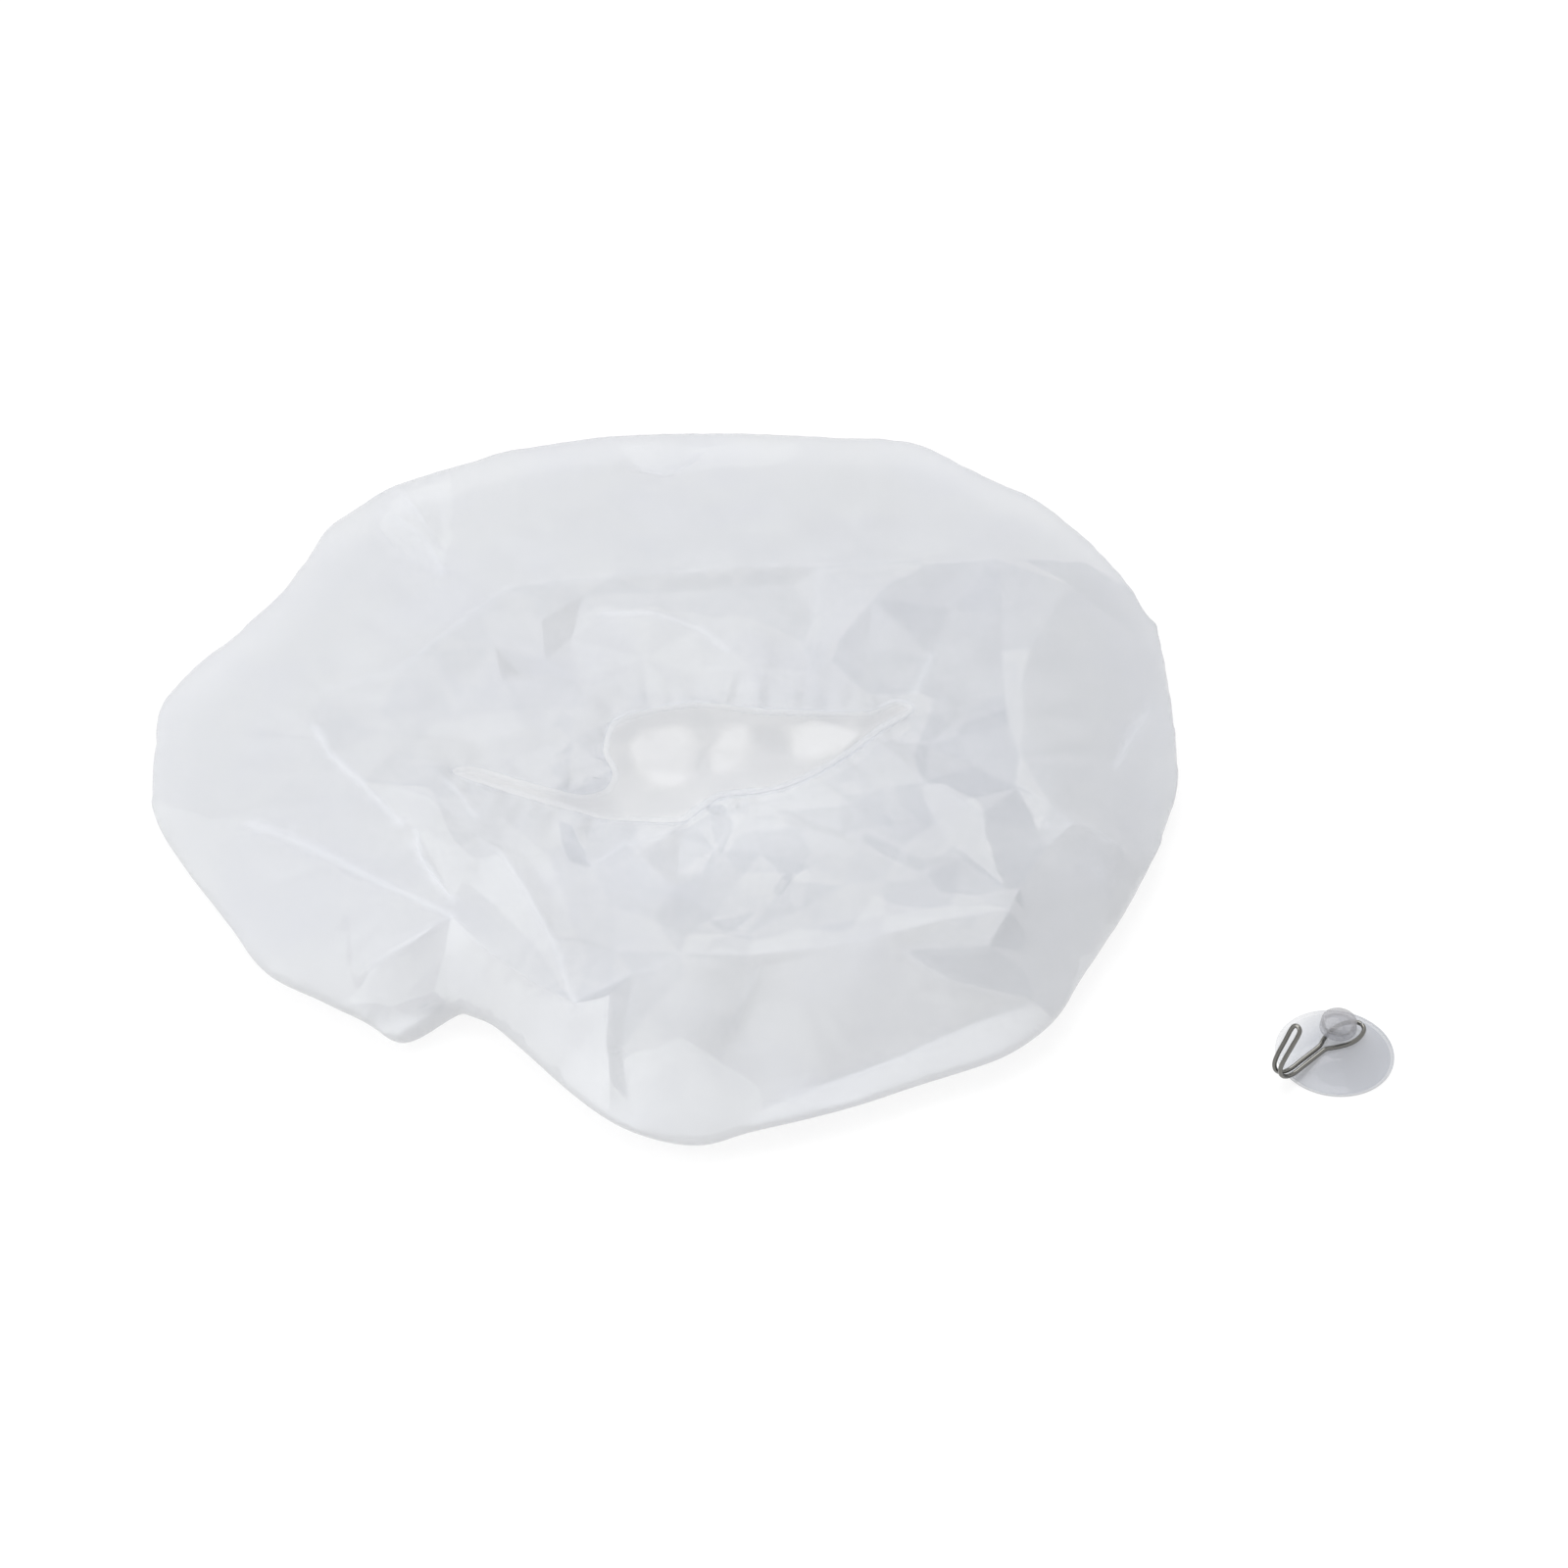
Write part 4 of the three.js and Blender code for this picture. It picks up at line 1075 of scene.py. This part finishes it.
def build_wire():
    """The wire is a curve with the wire's roundness, made a mesh."""
    points, apex = half_wire()
    route = points + [apex] + [(x, -y, z) for x, y, z in reversed(points)]
    bpy.ops.object.select_all(action="DESELECT")
    bpy.ops.curve.primitive_bezier_curve_add(location=(0, 0, 0))
    wire = bpy.context.active_object
    wire.name = "wire"
    curve = wire.data
    curve.splines.clear()
    spline = curve.splines.new("BEZIER")
    spline.bezier_points.add(len(route) - 1)
    cos, sin = math.cos(HOOK_AZIMUTH), math.sin(HOOK_AZIMUTH)
    for knot, (x, y, z) in zip(spline.bezier_points, route):
        knot.co = Vector((x * cos - y * sin + CUP_X, x * sin + y * cos + CUP_Y, z)) * MM
        knot.handle_left_type = knot.handle_right_type = "AUTO"
    spline.resolution_u = 8
    curve.dimensions = "3D"
    curve.bevel_depth = WIRE_RADIUS * MM
    curve.bevel_resolution = 5
    curve.use_fill_caps = True
    bpy.ops.object.convert(target="MESH")
    wire = bpy.context.active_object
    wire.data.name = "wire"
    weld_and_smooth()
    return wire


def blown_film():
    """Blown polyethylene film: milky, satin, whiter along its creases, partly where a crease has
    stretched it and partly as a painted highlight, and darker or lighter by painted shade and light.

    Its milkiness drifts over about 40 mm, and its surface ripples over about 5 mm.
    """
    material, tree, shader = new_material("blown_polyethylene_film")
    place = add_node(tree, "TexCoord", "Object")
    white = add_node(tree, "Attribute", "Fac", attribute_name="crease_white_and_highlight")
    layers_and_painted_shade = add_node(tree, "Attribute", "Fac", attribute_name="layers_and_painted_shade")
    cloud = add_node(tree, "TexNoise", "Fac", {"Vector": place, "Scale": 24, "Detail": 2})
    spread = add_node(tree, "MapRange", "Result", {"Value": cloud, "From Min": 0.36, "From Max": 0.56})
    tint = add_node(tree, "Mix", "Result", {
        "Factor": spread, "A": colour("C7CAD2"), "B": colour("CBCED3")}, data_type="RGBA")
    # Painted shade, partly for doubled film: a darker, bluer tint.
    doubled_and_painted_shade = add_node(tree, "Mix", "Result", {
        "Factor": layers_and_painted_shade, "A": tint, "B": colour("9299A8")}, data_type="RGBA")
    # Below 0 the amount is painted light: the film is mixed towards white.
    painted_light = add_node(tree, "MapRange", "Result", {"Value": layers_and_painted_shade, "From Min": 0, "From Max": -1})
    light = add_node(tree, "Math", "Value", {0: white, 1: painted_light}, operation="MAXIMUM")
    bright = add_node(tree, "Mix", "Result", {
        "Factor": light, "A": doubled_and_painted_shade, "B": colour("F6F9FF")}, data_type="RGBA")
    # More opaque along the creases, partly stretched film and partly a painted highlight.
    stretched = add_node(tree, "MapRange", "Result", {"Value": white, "To Min": 0.21, "To Max": 0.43})
    opaque = add_node(tree, "Math", "Value", {0: layers_and_painted_shade, 1: 0.08, 2: stretched}, operation="MULTIPLY_ADD")
    ripple = add_node(tree, "TexNoise", "Fac", {"Vector": place, "Scale": 190, "Detail": 3})
    bump = add_node(tree, "Bump", "Normal", {"Strength": 0.25, "Distance": 0.0004, "Height": ripple})
    connect(tree, shader, {
        "Base Color": bright, "Alpha": opaque, "Normal": bump, "Roughness": 0.3,
        "Specular IOR Level": 0.25, "IOR": 1.51})
    return material


def rolled_film():
    """The same film in three layers, rolled round the elastic: milkier, satin.

    Its fine gathers are about 1.7 mm wide.
    """
    material, tree, shader = new_material("rolled_polyethylene_hem")
    place = add_node(tree, "TexCoord", "Object")
    ripple = add_node(tree, "TexNoise", "Fac", {"Vector": place, "Scale": 600, "Detail": 2})
    bump = add_node(tree, "Bump", "Normal", {"Strength": 0.3, "Distance": 0.0003, "Height": ripple})
    # The hem is milkier where its gathers bunch, and on its near side this is a painted highlight.
    milky = add_node(tree, "Attribute", "Fac", attribute_name="milky")
    cloudy = add_node(tree, "MapRange", "Result", {"Value": milky, "To Min": 0.02, "To Max": 0.13})
    connect(tree, shader, {
        "Base Color": colour("E9ECF2"), "Alpha": cloudy, "Normal": bump, "Roughness": 0.3,
        "Specular IOR Level": 0.3, "IOR": 1.51})
    return material


def covered_elastic():
    """Elastic thread: milky rubber covered with a thin white yarn, matt.

    The yarn's strands are about 0.5 mm wide.
    """
    material, tree, shader = new_material("covered_elastic_thread")
    place = add_node(tree, "TexCoord", "Object")
    yarn = add_node(tree, "TexNoise", "Fac", {"Vector": place, "Scale": 1800, "Detail": 2})
    tint = add_node(tree, "Mix", "Result", {
        "Factor": yarn, "A": colour("E8E9E9"), "B": colour("FDFDFC")}, data_type="RGBA")
    bump = add_node(tree, "Bump", "Normal", {"Strength": 0.5, "Distance": 0.0002, "Height": yarn})
    connect(tree, shader, {"Base Color": tint, "Normal": bump, "Alpha": 0.04, "Roughness": 0.8})
    return material


def soft_pvc():
    """Soft clear PVC, injection moulded: blue-grey and glossy, cloudy over about 8 mm.

    It is greyer in the thick button. The disc is painted clearer towards its far left side, which stands in
    for the glare of light reflected there.
    """
    material, tree, shader = new_material("moulded_soft_clear_pvc")
    place = add_node(tree, "TexCoord", "Object")
    cloud = add_node(tree, "TexNoise", "Fac", {"Vector": place, "Scale": 120, "Detail": 2})
    tint = add_node(tree, "Mix", "Result", {
        "Factor": cloud, "A": colour("A6ABB7"), "B": colour("B0B4BE")}, data_type="RGBA")
    height = add_node(tree, "SeparateXYZ", "Z", {"Vector": place})
    button = add_node(tree, "MapRange", "Result", {
        "Value": height, "From Min": 0.0115, "From Max": 0.013})
    greyer = add_node(tree, "Mix", "Result", {
        "Factor": button, "A": tint, "B": colour("A6A5A9")}, data_type="RGBA")
    # Painted reflection: the disc is clearer, so whiter over the floor, towards its far left side, where
    # light glares on it.
    across = add_node(tree, "VectorMath", "Value", {0: place, 1: (-0.8, 0.6, 0)}, operation="DOT_PRODUCT")
    clear = add_node(tree, "MapRange", "Result", {
        "Value": across, "From Min": -0.248, "From Max": -0.235, "To Min": 0.44, "To Max": 0.16})
    connect(tree, shader, {"Base Color": greyer, "Alpha": clear, "Roughness": 0.12, "IOR": 1.53})
    return material


def plated_steel():
    """Drawn steel wire with a bright zinc plate: mirror-like, with faint drawing marks.

    The real marks are too fine to show, so they are drawn about 1 mm coarse.
    """
    material, tree, shader = new_material("bright_plated_steel_wire")
    place = add_node(tree, "TexCoord", "Object")
    marks = add_node(tree, "TexNoise", "Fac", {"Vector": place, "Scale": 900, "Detail": 3})
    shine = add_node(tree, "MapRange", "Result", {"Value": marks, "To Min": 0.08, "To Max": 0.16})
    connect(tree, shader, {"Base Color": colour("74736F"), "Roughness": shine, "Metallic": 1})
    return material


def dress(piece, material):
    piece.data.materials.clear()
    piece.data.materials.append(material)


def add_stage():
    """Floor, world and lamps: a white studio in which the object keeps a soft shadow."""
    bpy.ops.object.select_all(action="DESELECT")
    bpy.ops.mesh.primitive_plane_add(size=FLOOR_SIZE, location=(0, 0, 0))
    floor = bpy.context.active_object
    floor.name = "floor"
    material, tree, shader = new_material("white_studio_floor")
    rays = tree.nodes.new("ShaderNodeLightPath").outputs
    seen = add_node(tree, "Math", "Value", {
        0: rays["Is Camera Ray"], 1: rays["Is Glossy Ray"]}, operation="ADD")
    either = add_node(tree, "Math", "Value", {
        0: seen, 1: rays["Is Transmission Ray"]}, operation="ADD", use_clamp=True)
    glow = add_node(tree, "Math", "Value", {0: either, 1: FLOOR_GLOW}, operation="MULTIPLY")
    connect(tree, shader, {
        "Base Color": colour("959595"), "Roughness": 0.9, "Specular IOR Level": 0,
        "Emission Color": (1, 1, 1, 1), "Emission Strength": glow})
    dress(floor, material)
    world = bpy.data.worlds.new("studio")
    bpy.context.scene.world = world
    world.use_nodes = True
    tree = world.node_tree
    rays = tree.nodes.new("ShaderNodeLightPath").outputs
    backdrop = add_node(tree, "MapRange", "Result", {
        "Value": rays["Is Camera Ray"], "To Min": WORLD_GLOW, "To Max": 1})
    strength = add_node(tree, "Math", "Value", {
        0: rays["Is Glossy Ray"], 1: MIRRORED_GLOW, 2: backdrop}, operation="MULTIPLY_ADD")
    connect(tree, tree.nodes["Background"], {"Color": (1, 1, 1, 1), "Strength": strength})
    for name, place, size, energy in LAMPS:
        lamp = bpy.data.lights.new(name, "AREA")
        lamp.size = size
        lamp.energy = energy
        holder = bpy.data.objects.new(name, lamp)
        holder.location = place
        holder.rotation_euler = Vector(place).to_track_quat("Z", "Y").to_euler()
        bpy.context.collection.objects.link(holder)
    bpy.context.scene.view_settings.view_transform = "Standard"
    bpy.context.scene.cycles.transparent_max_bounces = 32


add_camera()
add_stage()
film, hem, elastic = build_film(), build_hem(), build_elastic()
cup, wire = build_cup(), build_wire()
for piece, material, slot in (
        (film, blown_film(), "film"), (hem, rolled_film(), "hem_film"),
        (elastic, covered_elastic(), "elastic"),
        (cup, soft_pvc(), "soft_vinyl"), (wire, plated_steel(), "plated_wire")):
    dress(piece, material)
for piece, node in ((film, "film_cap"), (hem, "hem_casing"), (elastic, "elastic_loop")):
    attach(piece, "cap")
    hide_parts(node)
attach(cup, "cup")
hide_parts("suction_cup")
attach(wire, "hook")
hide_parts("wire_hook")
